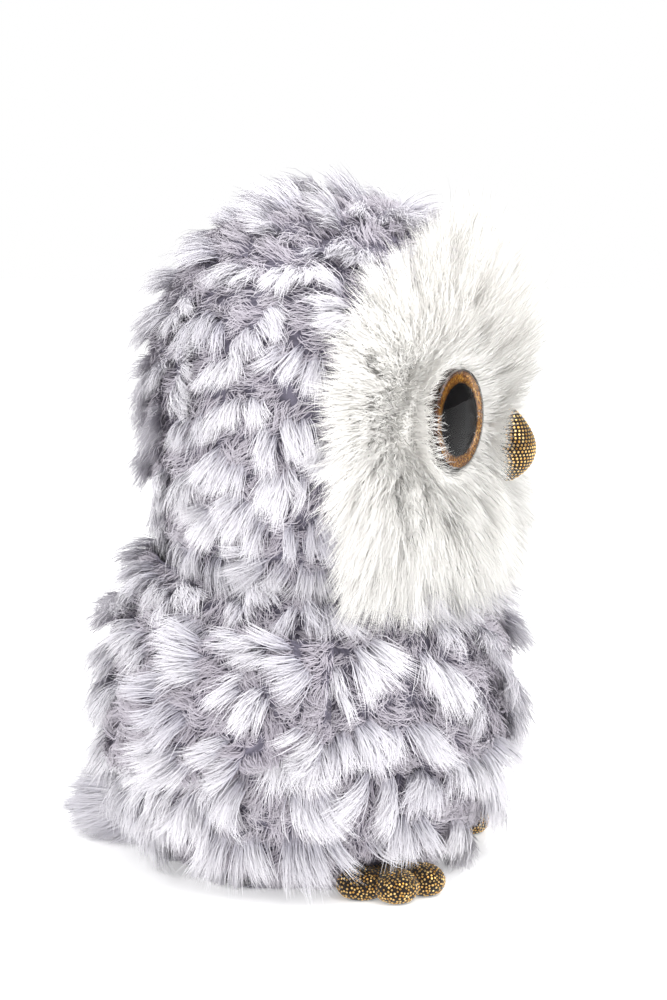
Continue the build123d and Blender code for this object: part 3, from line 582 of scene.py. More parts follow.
def drifting(places, normals, seed, towards=down, drift=0.75):
    """Headings that mostly follow one direction over the skin, and wander from it."""
    headings = flattened(np.broadcast_to(towards, places.shape), normals)
    turn = drift * wander(places, seed, 0.012) * 1.6 + rng.normal(0, 0.4, len(places))
    return headings * np.cos(turn)[:, None] + np.cross(normals, headings) * np.sin(turn)[:, None]


def wing_edges(y):
    """The heights of a wing's lower and upper edges at a place along it."""
    along = np.clip((y - wing_front) / (wing_tip[0] - wing_front), 0, 1)
    lower = np.interp(along, [0, 0.55, 1], [wing_root_low, 0.0425, wing_tip[1] - 0.001])
    upper = np.interp(along, [0, 0.4, 0.82, 1], [wing_root_high, 0.086, 0.068, wing_tip[1] + 0.004])
    return lower, upper


def under_wing(places):
    """Whether a place on the body is covered by a wing, away from the wing's edges."""
    y, z = places[:, 1], places[:, 2]
    lower, upper = wing_edges(y)
    along = (y > wing_front + 0.006) & (y < wing_tip[0] - 0.002)
    return (np.abs(places[:, 0]) > 0.02) & along & (z > lower + 0.002) & (z < upper - 0.004)


body_places, body_normals = scatter(body_skin, 9000)
chosen = spaced(body_places, body_tuft_spacing)
chosen = chosen[~under_wing(body_places[chosen])]
centres, normals = body_places[chosen], body_normals[chosen]
paths, lifts, tones = tufts(
    centres, normals, drifting(centres, normals, 3), body_tuft_spacing, 430,
    rng.uniform(0.017, 0.0225, len(centres)), 0.4, rng.normal(0.62, 0.16, len(centres)),
)
free = clear_of_toes(paths, 1.8 * toe_radius)
add_fur("body_tufts", "torso", paths[free], lifts[free], 0.0003, tones[free], tuft_pile)

roots, normals = scatter(body_skin, 46000)
length = np.where(under_wing(roots), 0.0038, 0.0085)
paths, tones = undercoat(roots, normals, drifting(roots, normals, 5), length)
free = clear_of_toes(paths, 1.2 * toe_radius)
paths, normals, tones = paths[free], normals[free], tones[free]
add_fur("body_undercoat", "torso", paths, normals, 0.00038, tones, under_pile)

add_piece(
    "body_plush", body_skin, grey_backing, "torso", "tufted_plush", "body_skin", "body_filling", fill=0.9
)


# Head fur: grey tufts behind, white pile on the face

head_tuft_spacing = 0.0138
head_places, head_normals = scatter(head_skin, 9000)
chosen = spaced(head_places, head_tuft_spacing)
chosen = chosen[~is_face(head_places[chosen] + [0, 0.002, 0])]
centres, normals = head_places[chosen], head_normals[chosen]
back_and_down = unit(np.array([0.0, 0.35, -1.0]))
paths, lifts, tones = tufts(
    centres, normals, drifting(centres, normals, 11, back_and_down), head_tuft_spacing, 420,
    rng.uniform(0.0145, 0.0185, len(centres)), 0.4, rng.normal(0.7, 0.15, len(centres)),
)
add_fur("head_tufts", "head", paths, lifts, 0.0003, tones, tuft_pile)

roots, normals = scatter(head_skin, 44000)
grey = ~is_face(roots)
roots, normals = roots[grey], normals[grey]
paths, tones = undercoat(roots, normals, drifting(roots, normals, 13, back_and_down), 0.008)
add_fur("head_undercoat", "head", paths, normals, 0.00038, tones, under_pile)

head = add_piece(
    "head_plush", head_skin, white_backing, "head", "tufted_plush",
    "head_skin", "face_panel", "head_filling", fill=0.95,
)
head.data.materials.append(grey_backing)
middles = head_skin.points[head_skin.faces].mean(axis=1)
head.data.polygons.foreach_set("material_index", np.where(is_face(middles), 0, 1).astype(np.int32))

eye_normals = {side: np.array([side * sin(eye_turn), -cos(eye_turn), 0.0]) for side in (-1, 1)}
eye_centres = {side: eye_centre * [side, 1, 1] for side in (-1, 1)}


def from_eye(places, side):
    """Each place's distance from an eye's axis, and the direction away from that axis."""
    offset = places - eye_centres[side]
    offset = offset - eye_normals[side] * dot(offset, eye_normals[side])
    distance = np.linalg.norm(offset, axis=-1)
    return distance, offset / np.maximum(distance, 1e-9)[..., None]


def face_headings(places, normals):
    """White fur that parts around the eyes and the beak and falls away towards the face's edge."""
    outward = unit(places - [0, beak_axis_y + 0.03, 0.5 * (beak_low + beak_high) + 0.002])
    flow = flattened(outward, normals) + 0.45 * flattened(np.broadcast_to(down, places.shape), normals)
    for side in (-1, 1):
        distance, away = from_eye(places, side)
        flow = flow + 1.6 * away * np.exp(-((distance - eye_radius) / 0.006))[:, None]
    from_beak = unit((places - [0, 0, (beak_low + beak_high) / 2]) * [1, 0, 1])
    flow = flow + 1.4 * from_beak * np.exp(-(near_beak(places) - 1) / 0.6)[:, None]
    turn = 0.35 * wander(places, 17, 0.006) + rng.normal(0, 0.12, len(places))
    flow = flattened(flow, normals)
    return flow * np.cos(turn)[:, None] + np.cross(normals, flow) * np.sin(turn)[:, None]


def near_beak(places):
    """How far a place on the face is from the beak's middle, where 1 is the beak's edge."""
    across = places[:, 0] / beak_radius
    up = (places[:, 2] - (beak_low + beak_high) / 2) / ((beak_high - beak_low) / 2)
    return np.where(places[:, 1] < beak_axis_y + 0.02, np.hypot(across, up), 9.0)


roots, normals = scatter(head_skin, 330000)
white = is_face(roots) & (near_beak(roots) > 1.0)
for side in (-1, 1):
    white &= from_eye(roots, side)[0] > eye_radius + 0.0004
roots, normals = roots[white], normals[white]
headings = face_headings(roots, normals)
nearness = np.min([from_eye(roots, side)[0] for side in (-1, 1)], axis=0) - eye_radius
nearness = np.minimum(nearness, 0.011 * (near_beak(roots) - 1))
lengths = (0.0085 + 0.0165 * np.clip(nearness / 0.015, 0, 1)) * rng.uniform(0.55, 1.08, len(roots))
locks = nearest(roots, roots[spaced(roots[:9000], 0.003)])
stand = 0.6 + 0.4 * np.clip(nearness / 0.011, 0, 1)
lock_lean = rng.normal(0, 0.1, locks.max() + 1)[locks]
paths = grow(
    roots - normals * 0.001, normals, headings, lengths,
    stand * (0.2 + lock_lean) + rng.normal(0, 0.08, len(roots)),
    stand * (0.85 + lock_lean) + rng.normal(0, 0.18, len(roots)),
    rng.normal(0, 0.25, len(roots)),
)
paths = gathered(paths, locks, 0.15)
tones = np.clip(0.65 + rng.normal(0, 0.15, len(roots)) + rng.normal(0, 0.1, locks.max() + 1)[locks], 0, 1)
add_fur("face_pile", "head", paths, normals, 0.00024, tones, white_pile, 0.2)


# Short white down under the face's pile, which hides the backing

roots, normals = scatter(head_skin, 90000)
white = is_face(roots)
for side in (-1, 1):
    white &= from_eye(roots, side)[0] > eye_radius - 0.001
roots, normals = roots[white], normals[white]
headings = flattened(rng.normal(size=roots.shape), normals)
paths = grow(
    roots - normals * 0.001, normals, headings, rng.uniform(0.004, 0.007, len(roots)),
    rng.uniform(0.2, 0.8, len(roots)), rng.uniform(0.9, 1.5, len(roots)),
    rng.normal(0, 0.6, len(roots)), joints=4,
)
tones = rng.uniform(0.6, 1, len(roots))
add_fur("face_down", "head", paths, normals, 0.0004, tones, white_pile, 0)


# Hair round each eye: a collar that stands up against its side, and a few fine hairs that fall over it

collar_count = 2600
fringe_count = 90


def eye_hair(name, side, turn, gap, sunk, inwards, stray, length, lean_from, lean_to, curl, width):
    """Hair rooted round an eye at these turns, that leans away from it, or over it when inwards."""
    count = len(turn)
    outer = np.array([side * cos(eye_turn), sin(eye_turn), 0.0])
    away = outer * np.cos(turn)[:, None] - down * np.sin(turn)[:, None]
    facing = np.broadcast_to(eye_normals[side], away.shape)
    roots = eye_centres[side] + away * (eye_radius + rng.uniform(*gap, (count, 1)))
    if sunk:
        roots = roots - facing * rng.uniform(*sunk, (count, 1))
    lean_way = -away if inwards else away
    headings = flattened(lean_way + rng.normal(0, stray, away.shape), facing)
    paths = grow(
        roots, facing, headings, rng.uniform(*length, count),
        rng.uniform(*lean_from, count), rng.uniform(*lean_to, count), rng.normal(0, curl, count),
    )
    tones = rng.uniform(0.5, 1, count)
    add_fur(name, "head", paths, facing, width, tones, white_pile, 0)


for side, name in ((-1, "right_eye"), (1, "left_eye")):
    eye_hair(
        name + "_collar", side, rng.uniform(-pi, pi, collar_count), (0.0004, 0.0028), (0.003, 0.0055),
        False, 0.5, (0.0055, 0.0085), (0.0, 0.4), (0.5, 1.2), 0.5, 0.00024,
    )
    eye_hair(
        name + "_fringe", side, rng.uniform(-1.1, 0.2, fringe_count), (0.0004, 0.0015), None,
        True, 0.9, (0.003, 0.0065), (-0.1, 0.3), (0.6, 1.4), 1.3, 0.00014,
    )


# Wings: thin pads that hang from their front seam, with fur on the outside


def wing_skin(side):
    """The wing as a pad that lies on the body, thickest in the middle and thin along its edge."""
    along = np.linspace(0, 1, 26)
    y = wing_front + (wing_tip[0] - wing_front) * along
    lower, upper = wing_edges(y)
    turns = circle(28)
    middle, half = (upper + lower)[:, None] / 2, (upper - lower)[:, None] / 2
    z = middle + half * np.cos(turns)
    plump = 0.0045 * np.sin(pi * np.clip(0.12 + 0.8 * along, 0, 1))[:, None] + 0.0008
    thick = 0.0012 + plump * (0.8 + 0.8 * np.sin(turns))
    share = body_form.share(z)
    depth_share = (y[:, None] - body_form.middle_y) / ((body_form.half_depth + thick) * share)
    reach = np.sqrt(np.clip(1 - depth_share**2, 0, 1))
    x = (body_form.half_width + thick) * share * reach
    points = np.stack([side * x, np.broadcast_to(y[:, None], z.shape), z], axis=-1)
    return grid_skin(points if side > 0 else points[:, ::-1])


for side, name in ((-1, "right_wing"), (1, "left_wing")):
    skin = wing_skin(side)
    outside = np.array([side, 0.0, 0.0])
    add_piece(name + "_plush", skin, grey_backing, name, "tufted_plush", name, fill=0.4)
    back_down = unit(np.array([0.0, 0.75, -1.0]))
    places, facing = scatter(skin, 3000)
    outer = dot(facing, outside)[:, 0] > 0.3
    places, facing = places[outer], facing[outer]
    chosen = spaced(places, 0.0135)
    chosen = chosen[places[chosen][:, 1] < wing_tip[0] - 0.03]
    centres, normals = places[chosen], facing[chosen]
    paths, lifts, tones = tufts(
        centres, normals, drifting(centres, normals, 23, back_down, 0.45), 0.0145, 400,
        rng.uniform(0.0155, 0.019, len(centres)), 0.5, rng.normal(0.6, 0.15, len(centres)),
    )
    add_fur(name + "_tufts", name, paths, lifts, 0.0003, tones, tuft_pile)
    roots, normals = scatter(skin, 11000)
    length = np.where(dot(normals, outside)[:, 0] > -0.35, 0.008, 0.003)
    paths, tones = undercoat(roots, normals, drifting(roots, normals, 29, back_down, 0.4), length)
    add_fur(name + "_undercoat", name, paths, normals, 0.0004, 0.5 * tones, under_pile)


# Tail: a soft brush low on the back

tail_root = np.array([0.0, neck_y + 0.052, 0.0165])
tail_tip = np.array([0.0, neck_y + 0.0775, 0.0105])


def tail_skin():
    along = np.linspace(0, 1, 16)
    turns = circle(32)
    size = np.sqrt(np.clip(1 - along**2.2, 0.0004, 1))[:, None]
    centre = tail_root + (tail_tip - tail_root) * along[:, None]
    points = np.stack(
        [
            centre[:, :1] + 0.0095 * size * np.cos(turns),
            np.broadcast_to(centre[:, 1:2], (16, 32)),
            centre[:, 2:] + 0.0078 * size * np.sin(turns),
        ],
        axis=-1,
    )
    return grid_skin(points[:, ::-1])


skin = tail_skin()
add_piece("tail_plush", skin, grey_backing, "tail", "tufted_plush", "tail", fill=0.6)
roots, normals = scatter(skin, 8000)
backwards_and_down = np.broadcast_to(unit(np.array([0.0, 1.0, -0.25])), roots.shape)
headings = flattened(backwards_and_down + 0.5 * normals, normals)
locks = nearest(roots, roots[spaced(roots[:1500], 0.003)])
paths = grow(
    roots - normals * 0.0006, normals, headings, rng.uniform(0.012, 0.022, len(roots)),
    rng.uniform(0.3, 0.7, len(roots)), rng.uniform(0.9, 1.3, len(roots)), rng.normal(0, 0.3, len(roots)),
)
paths = gathered(paths, locks, 0.4)
tones = np.clip(0.35 + rng.normal(0, 0.2, locks.max() + 1)[locks] + rng.normal(0, 0.12, len(roots)), 0, 1)
add_fur("tail_pile", "tail", paths, normals, 0.00036, 0.8 * tones, tuft_pile)


# Foil-dotted fabric of the feet and the beak


def fabric_material():
    """Black woven fabric with a faint weave, that the foil dots are printed on."""
    material = new_material("black_weave", roughness=0.75, Specular_IOR_Level=0.2, Sheen_Weight=0.3)
    place = own_place(material)
    threads = node(material, "ShaderNodeTexVoronoi", Vector=place, Scale=2600.0).outputs["Distance"]
    tint = ramp(material, threads, [(0.0, colour(44, 30, 18)), (1.0, colour(14, 10, 8))])
    link(material, tint, "Base Color")
    bump(material, threads, 0.4, 0.0002)
    return material


def foil_material(name, dark, light):
    """Metal foil whose dots differ a little in colour."""
    material = new_material(name, roughness=0.28, Metallic=1.0)
    place = own_place(material)
    patches = node(material, "ShaderNodeTexNoise", Vector=place, Scale=900.0, Detail=1.0).outputs["Fac"]
    link(material, ramp(material, patches, [(0.3, dark), (0.7, light)]), "Base Color")
    return material


black_weave = fabric_material()
gold_foil = foil_material("gold_foil", colour(196, 142, 62), colour(250, 218, 150))
dot_pitch = 0.00118
dot_radius = 0.00046
dot_height = 0.00014


def foil_dots(name, places, normals, body):
    """Small raised dots, one at each place, as one piece."""
    turns = np.arange(7) / 7 * 2 * pi
    first = unit(np.cross(normals, np.array([0.31, 0.17, 0.93])))
    second = np.cross(normals, first)
    ring = first[:, None] * np.cos(turns)[:, None] + second[:, None] * np.sin(turns)[:, None]
    size = dot_radius * rng.uniform(0.85, 1.1, (len(places), 1, 1))
    foot = places[:, None] - normals[:, None] * 0.00008 + ring * size
    rim = places[:, None] + normals[:, None] * dot_height + ring * size * 0.62
    points = np.concatenate([foot, rim], axis=1).reshape(-1, 3)
    faces = []
    for start in range(0, len(points), 14):
        for k in range(7):
            beside = (k + 1) % 7
            faces.append([start + k, start + beside, start + 7 + beside, start + 7 + k])
        faces.append([start + 7 + k for k in range(7)])
    dots = new_object(name, points, faces, gold_foil, smooth=False)
    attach(dots, body)


def dot_rows(low, high, radius_at, place_at):
    """Places in rows round an axis, each row shifted by half a dot from the last."""
    rows = int((high - low) / (dot_pitch * 0.88))
    found = []
    for row in range(rows + 1):
        height = low + (high - low) * row / rows
        dots = max(1, round(2 * pi * radius_at(height) / dot_pitch))
        for dot_number in range(dots):
            angle = 2 * pi * (dot_number + 0.5 * (row % 2)) / dots
            found.append(place_at(height, angle))
    return found


beak_bend = 0.0012


def beak_point(height, angle):
    """A point of the beak, a spindle that is fullest below its middle and hooks back a little at its foot."""
    share = (height - beak_low) / (beak_high - beak_low)
    size = beak_radius * (np.sin(pi * share**0.82)) ** 0.8
    return np.array(
        [
            0.88 * size * np.sin(angle),
            beak_axis_y + beak_bend * (1 - share) - size * np.cos(angle),
            height,
        ]
    )


beak_heights = beak_low + (beak_high - beak_low) * (1 - np.cos(np.linspace(0.02, pi - 0.02, 40))) / 2
beak_grid = np.array([[beak_point(h, a) for a in circle(48)] for h in beak_heights])
skin = grid_skin(beak_grid)
add_piece("beak_fabric", skin, black_weave, "head", "foil_dot_fabric", "beak", fill=1.0)


def normal_near(surface, place):
    """The closest point of a surface to a place, and the surface's normal there."""
    location, normal, _, _ = surface.find_nearest(Vector(place))
    return np.array(location), np.array(normal)


beak_surface = BVHTree.FromPolygons([Vector(p) for p in skin.points], skin.faces.tolist())
beak_dots = dot_rows(
    beak_low + 0.0006, beak_high - 0.0006,
    lambda height: np.linalg.norm(beak_point(height, pi / 2)[:1]), beak_point,
)
found = [normal_near(beak_surface, place) for place in beak_dots if place[1] < beak_axis_y + 0.001]
dot_places = np.array([place for place, _ in found])
dot_normals = np.array([normal for _, normal in found])
from_axis = (dot_places - [0, beak_axis_y, 0]) * [1, 1, 0]
inward = dot(dot_normals, from_axis) <= 0
foil_dots("beak_foil_dots", dot_places, np.where(inward, -dot_normals, dot_normals), "head")


# Feet: three plump toes that run together at the root


def toe_points(angle, length, width):
    """A toe as rows of points: plump at its end, and pinched a little behind it."""
    along = np.linspace(0, 1, 24)
    stem = np.interp(along, [0, 0.4, 0.55, 0.76], [0.8, 0.82, 0.88, 1.08])
    tip = 1.08 * np.sqrt(np.clip(1 - ((along - 0.76) / 0.24) ** 2, 0, 1))
    size = toe_radius * np.where(along < 0.76, stem, tip)[:, None, None]
    turns = circle(32)[:, None]
    direction = np.array([cos(angle), -sin(angle), 0.0])
    side = np.cross(direction, [0, 0, 1.0])
    centre = foot_root + direction * (along * length)[:, None]
    ring = side * np.cos(turns) * width + np.array([0, 0, 0.96]) * np.sin(turns)
    return centre[:, None] + size * ring


def foot_mesh(name):
    """Three toes melted into one smooth closed form."""
    points, faces = [], []
    for toe in toes:
        skin = grid_skin(toe_points(*toe))
        start = len(points)
        points += skin.points.tolist()
        faces += (skin.faces + start).tolist()
        faces.append([start + k for k in range(31, -1, -1)])
        faces.append([start + 23 * 32 + k for k in range(32)])
    made = new_object(name, points, faces, black_weave)
    remesh = made.modifiers.new("melt", "REMESH")
    remesh.mode = "VOXEL"
    remesh.voxel_size = 0.0006
    smooth = made.modifiers.new("smooth", "SMOOTH")
    smooth.iterations = 4
    depsgraph = bpy.context.evaluated_depsgraph_get()
    melted = bpy.data.meshes.new_from_object(made.evaluated_get(depsgraph))
    made.modifiers.clear()
    made.data = melted
    made.data.shade_smooth()
    places = corners(made)
    places[:, 2] = np.maximum(places[:, 2], 0.0002)
    made.data.vertices.foreach_set("co", places.reshape(-1))
    return made


left_foot = foot_mesh("left_foot_fabric")
right_foot = add_object("right_foot_fabric", left_foot.data.copy())
mirrored = corners(right_foot) * [-1, 1, 1]
right_foot.data.vertices.foreach_set("co", mirrored.reshape(-1))
right_foot.data.flip_normals()

foot_faces = np.array([tuple(p.vertices) for p in left_foot.data.polygons if len(p.vertices) == 4])
foot_normals = np.array([v.normal for v in left_foot.data.vertices])
foot_skin = Skin(corners(left_foot), foot_faces, foot_normals)
dot_places, dot_normals = scatter(foot_skin, 16000)
kept = spaced(dot_places, dot_pitch * 0.76)
kept = kept[dot_places[kept][:, 2] > 0.0006]
dot_places, dot_normals = dot_places[kept], dot_normals[kept]
for side, name in ((1, "left_foot"), (-1, "right_foot")):
    foot = bpy.data.objects[name + "_fabric"]
    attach(foot, "torso")
    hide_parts(name)
    foil_dots(name + "_foil_dots", dot_places * [side, 1, 1], dot_normals * [side, 1, 1], "torso")


# Base: a felt ring round the module, sewn along its rim

casing_centre = np.array([0.0, neck_y + 0.001])
casing_half = np.array([0.0303, 0.0273])


def base_ring():
    """The felt ring as rows of points round its rounded edge, from the opening to the rim and back."""
    turns = circle(160)
    share = float(body_form.share(np.array(base_pad_height)))
    ring = np.stack([np.cos(turns), np.sin(turns)], axis=-1)
    inset = 0.007
    half = np.array([body_form.half_width, body_form.half_depth]) * share - inset
    rim = [0, body_form.middle_y] + ring * half
    square = np.sign(ring) * np.abs(ring) ** 0.42
    opening = casing_centre + square * casing_half
    rows = []
    for share_out, height in (
        (0.0, 0.5), (0.006, 0.15), (0.03, 0.02), (0.97, 0.02), (0.994, 0.2), (1.0, 0.5),
        (0.994, 0.8), (0.97, 0.98), (0.03, 0.98), (0.0, 0.85), (0.0, 0.5),
    ):
        flat = opening + (rim - opening) * share_out
        rows.append(np.concatenate([flat, np.full((160, 1), base_pad_height * height)], axis=1))
    return np.array(rows)


def felt_material():
    material = new_material("base_felt", roughness=0.95, Specular_IOR_Level=0.1, Sheen_Weight=0.3)
    place = own_place(material)
    noise = node(material, "ShaderNodeTexNoise", Vector=place, Scale=1400.0, Detail=6.0, Roughness=0.7)
    fibres = noise.outputs["Fac"]
    tint = ramp(material, fibres, [(0.35, colour(150, 147, 160)), (0.65, colour(182, 179, 190))])
    link(material, tint, "Base Color")
    bump(material, fibres, 0.5, 0.0003)
    return material


base_felt = felt_material()
skin = grid_skin(base_ring())
add_piece("base_felt_ring", skin, base_felt, "torso", "base_felt", "base_pad", fill=0.2)


# Eyes: clear domes over a glitter iris and a glossy pupil


def shown(name, material):
    """Gives a CAD piece that stays visible its finished material."""
    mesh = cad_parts[name].data
    mesh.materials.clear()
    mesh.materials.append(material)
    for polygon in mesh.polygons:
        polygon.material_index = 0


def iris_material(name, side):
    """Amber glitter in clear resin, darker towards the rim and towards the pupil."""
    material = new_material(name, roughness=0.32, Metallic=0.35, Coat_Weight=1.0)
    place = own_place(material)
    offset = node(material, "ShaderNodeVectorMath", Vector=place)
    offset.operation = "SUBTRACT"
    offset.inputs[1].default_value = eye_centres[side]
    length = node(material, "ShaderNodeVectorMath", Vector=offset.outputs["Vector"])
    length.operation = "LENGTH"
    share = node(material, "ShaderNodeMapRange", Value=length.outputs["Value"])
    share.inputs["From Min"].default_value = pupil_radius
    share.inputs["From Max"].default_value = eye_radius
    flakes = node(material, "ShaderNodeTexVoronoi", Vector=place, Scale=2100.0)
    tint = ramp(
        material, flakes.outputs["Color"],
        [
            (0.25, colour(104, 58, 8)),
            (0.5, colour(178, 112, 22)),
            (0.72, colour(216, 148, 38)),
            (0.9, colour(248, 202, 96)),
        ],
    )
    shade = ramp(
        material, share.outputs["Result"],
        [
            (0.0, colour(120, 96, 80)),
            (0.2, colour(255, 255, 255)),
            (0.7, colour(240, 232, 224)),
            (0.9, colour(96, 66, 46)),
        ],
    )
    link(material, mix(material, 1.0, tint, shade, "MULTIPLY"), "Base Color")
    bump(material, flakes.outputs["Distance"], 0.35, 0.0002)
    return material


def speckled(name, base, roughness, scale=900.0, contrast=0.08, relief=0.15, **inputs):
    """A moulded or metal surface with a fine grain, a little uneven in colour."""
    material = new_material(name, roughness=roughness, **inputs)
    place = own_place(material)
    grain = node(material, "ShaderNodeTexNoise", Vector=place, Scale=scale, Detail=4.0).outputs["Fac"]
    darker = tuple(max(0.0, c * (1 - contrast)) for c in base[:3]) + (1.0,)
    lighter = tuple(min(1.0, c * (1 + contrast)) for c in base[:3]) + (1.0,)
    link(material, ramp(material, grain, [(0.35, darker), (0.65, lighter)]), "Base Color")
    bump(material, grain, relief, 0.0001)
    return material


lens_clear = new_material("lens_clear", roughness=0.02, Transmission_Weight=1.0, IOR=1.18)
rim_height = 0.0016
dome_height = 0.0016
dome_ball = (eye_radius**2 + dome_height**2) / (2 * dome_height)


def eye_piece(name, side, radii, heights, material, slot):
    """A closed round piece that replaces one of an eye's, from its radii and their heights over the back."""
    turns = circle(64)
    sideways = np.array([cos(eye_turn), side * sin(eye_turn), 0.0])
    flat = sideways * np.cos(turns)[:, None] + np.array([0, 0, 1.0]) * np.sin(turns)[:, None]
    radii, heights = np.array(radii)[:, None, None], np.array(heights)[:, None, None]
    skin = grid_skin(eye_centres[side] + flat * radii + eye_normals[side] * heights)
    add_piece(name + "_shaped", skin, material, "head", slot, name)


pupil_black = speckled("pupil_black", colour(12, 10, 13), 0.5, relief=0.0, Specular_IOR_Level=0.05)
eye_back_black = speckled("eye_back_black", colour(40, 22, 10), 0.35)
swing = np.linspace(np.arcsin(eye_radius / dome_ball), 0.001, 20)
dome_radii = [0.0001, eye_radius * 0.98, eye_radius, eye_radius, *dome_ball * np.sin(swing)]
dome_top = rim_height + dome_height
dome_heights = [-0.0001, -0.0001, 0.0, rim_height, *dome_top - dome_ball * (1 - np.cos(swing))]
iris_outer = 0.97 * eye_radius
iris_inner = 0.96 * pupil_radius
iris_radii = [iris_inner, iris_outer, iris_outer, iris_outer - 0.0003, iris_inner, iris_inner]
iris_heights = [0.0002, 0.0002, rim_height - 0.0003, rim_height - 0.0002, 0.0004, 0.0002]
pupil_radii = [0.0001, pupil_radius, pupil_radius, 0.8 * pupil_radius, 0.4 * pupil_radius, 0.0001]
pupil_heights = [0.0003, 0.0003, 0.0005, 0.00055, 0.0006, 0.0006]
for side, hand in ((-1, "right"), (1, "left")):
    name = hand + "_eye"
    eye_piece(name + "_lens", side, dome_radii, dome_heights, lens_clear, "clear_lens")
    glitter = iris_material("glitter_iris_" + hand, side)
    eye_piece(name + "_iris", side, iris_radii, iris_heights, glitter, "glitter_iris")
    eye_piece(name + "_pupil", side, pupil_radii, pupil_heights, pupil_black, "black_gloss")
    shown(name + "_back", eye_back_black)


# The module inside: moulded, metal, board and paper pieces

steel = speckled("steel", colour(186, 188, 192), 0.3, Metallic=1.0)
white_plastic = speckled("white_plastic", colour(232, 231, 226), 0.45)
grey_casing = speckled("grey_casing", colour(150, 152, 160), 0.5, scale=1500.0, relief=0.35)
black_plastic = speckled("black_plastic", colour(34, 34, 37), 0.4)
red_plastic = speckled("red_plastic", colour(190, 34, 30), 0.3)
gear_plastic = speckled("gear_plastic", colour(238, 237, 230), 0.38)
bronze = speckled("bronze", colour(190, 150, 84), 0.35, Metallic=1.0)
cell_wrap = speckled("cell_wrap", colour(52, 56, 62), 0.25)
board_green = speckled("board_green", colour(28, 104, 58), 0.4)
cone_paper = speckled("cone_paper", colour(52, 50, 48), 0.85)

module_materials = [
    (white_plastic, "right_eye_washer left_eye_washer head_frame"),
    (grey_casing, "casing_base casing_cover battery_door"),
    (black_plastic, "power_switch_knob power_switch_body tact_switch sound_chip"),
    (red_plastic, "squeeze_button"),
    (gear_plastic, "idler_gear_1 idler_gear_2 output_gear motor_pinion gear_plate"),
    (steel, "casing_screws plate_screws gear_axles motor_shaft neck_shaft head_frame_screw motor"),
    (steel, "battery_door_screw battery_springs speaker_magnet speaker_frame"),
    (bronze, "neck_bearing positive_contacts negative_contacts"),
    (cell_wrap, "battery_cells board_capacitors"),
    (board_green, "circuit_board"),
    (cone_paper, "speaker_cone"),
]
for material, names in module_materials:
    for name in names.split():
        shown(name, material)


# The spring behind the squeeze button, as one fixed coil in its place; the real spring flattens as the button
# goes in

spring_turns = 4
spring_wire = 0.00035


def coil(low, high):
    """A coil spring along y as a round wire, between two corners of the box that it fills."""
    turns = np.linspace(0, 2 * pi * spring_turns, 32 * spring_turns)
    middle = (low + high) / 2
    radius = (high[0] - low[0]) / 2 - spring_wire
    centre = np.stack(
        [
            middle[0] + radius * np.cos(turns),
            np.linspace(low[1] + spring_wire, high[1] - spring_wire, len(turns)),
            middle[2] + radius * np.sin(turns),
        ],
        axis=-1,
    )
    outward = unit(centre * [1, 0, 1] - middle * [1, 0, 1])
    lengthwise = np.cross(unit(np.gradient(centre, axis=0)), outward)
    round_wire = circle(12)[:, None]
    ring = outward[:, None] * np.cos(round_wire) + lengthwise[:, None] * np.sin(round_wire)
    ends = np.concatenate([[0.01], np.ones(len(turns) - 2), [0.01]])[:, None, None]
    return grid_skin(centre[:, None] + ring * spring_wire * ends)


spring_corners = corners(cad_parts["button_spring"])
spring_low, spring_high = spring_corners.min(axis=0), spring_corners.max(axis=0)
skin = coil(spring_low, spring_high)
spring = add_piece("button_coil", skin, steel, "torso", "steel", "button_spring")
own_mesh(spring)


# Camera, light and floor

camera_azimuth = -74
camera_elevation = 9
camera_distance = 0.70
field_width = 0.320


def direction_to(azimuth, elevation):
    """The direction from the owl to a place, by angles round from its front and up, in degrees."""
    a, e = radians(azimuth), radians(elevation)
    return Vector((sin(a) * cos(e), -cos(a) * cos(e), sin(e)))


def face_along(made, direction):
    """Points a camera or a light along a direction."""
    made.rotation_mode = "QUATERNION"
    made.rotation_quaternion = direction.to_track_quat("-Z", "Y")


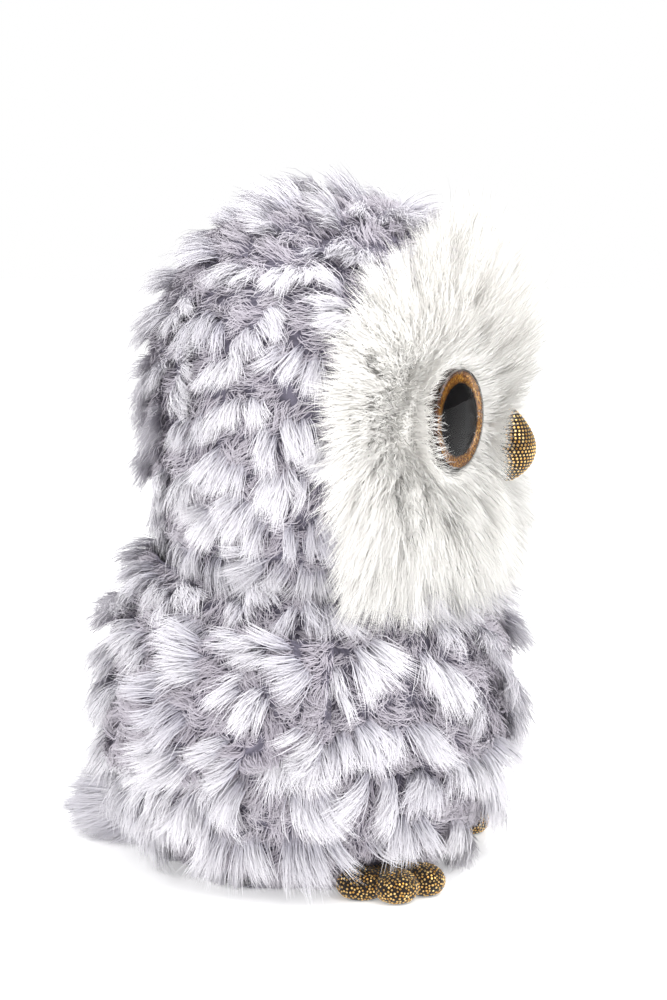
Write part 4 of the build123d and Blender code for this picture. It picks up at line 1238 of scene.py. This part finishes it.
view_right = Vector((cos(radians(camera_azimuth)), sin(radians(camera_azimuth)), 0))
aim = Vector((0, neck_y, 0.1165)) + view_right * 0.0021
backwards = direction_to(camera_azimuth, camera_elevation)
camera = add_object("camera", bpy.data.cameras.new("camera"))
camera.location = aim + backwards * camera_distance
face_along(camera, -backwards)
camera.data.sensor_width = 36
camera.data.lens = camera.data.sensor_width * camera_distance / field_width
bpy.context.scene.camera = camera


def add_light(name, azimuth, elevation, distance, size, power):
    light = add_object(name, bpy.data.lights.new(name, "AREA"))
    light.data.size = size
    light.data.energy = power
    light.location = aim + direction_to(azimuth, elevation) * distance
    face_along(light, -direction_to(azimuth, elevation))


add_light("key", -30, 45, 1.2, 0.9, 10)
add_light("fill", -120, 35, 1.4, 1.2, 9.5)
add_light("top", 0, 88, 1.3, 1.2, 6)
world = bpy.data.worlds.new("world")
world.use_nodes = True
background = world.node_tree.nodes["Background"]
background.inputs["Color"].default_value = (1, 1, 1, 1)
rays = world.node_tree.nodes.new("ShaderNodeLightPath").outputs
strength = world.node_tree.nodes.new("ShaderNodeMapRange")
world.node_tree.links.new(rays["Is Glossy Ray"], strength.inputs["Value"])
strength.inputs["To Min"].default_value = 0.85
strength.inputs["To Max"].default_value = 0.25
direct = world.node_tree.nodes.new("ShaderNodeMath")
direct.operation = "MAXIMUM"
world.node_tree.links.new(strength.outputs["Result"], direct.inputs[0])
world.node_tree.links.new(rays["Is Camera Ray"], direct.inputs[1])
world.node_tree.links.new(direct.outputs["Value"], background.inputs["Strength"])
bpy.context.scene.world = world
bpy.context.scene.view_settings.view_transform = "Standard"

floor_material = new_material("floor", roughness=0.7, Specular_IOR_Level=0.2)
floor_shader = floor_material.node_tree.nodes["Principled BSDF"]
floor_shader.inputs["Base Color"].default_value = colour(250, 250, 250)
floor_shader.inputs["Emission Color"].default_value = (1, 1, 1, 1)
floor_shader.inputs["Emission Strength"].default_value = 0.3
floor = new_object("floor", [(-3, -3, 0), (3, -3, 0), (3, 3, 0), (-3, 3, 0)], [(0, 1, 2, 3)], floor_material)
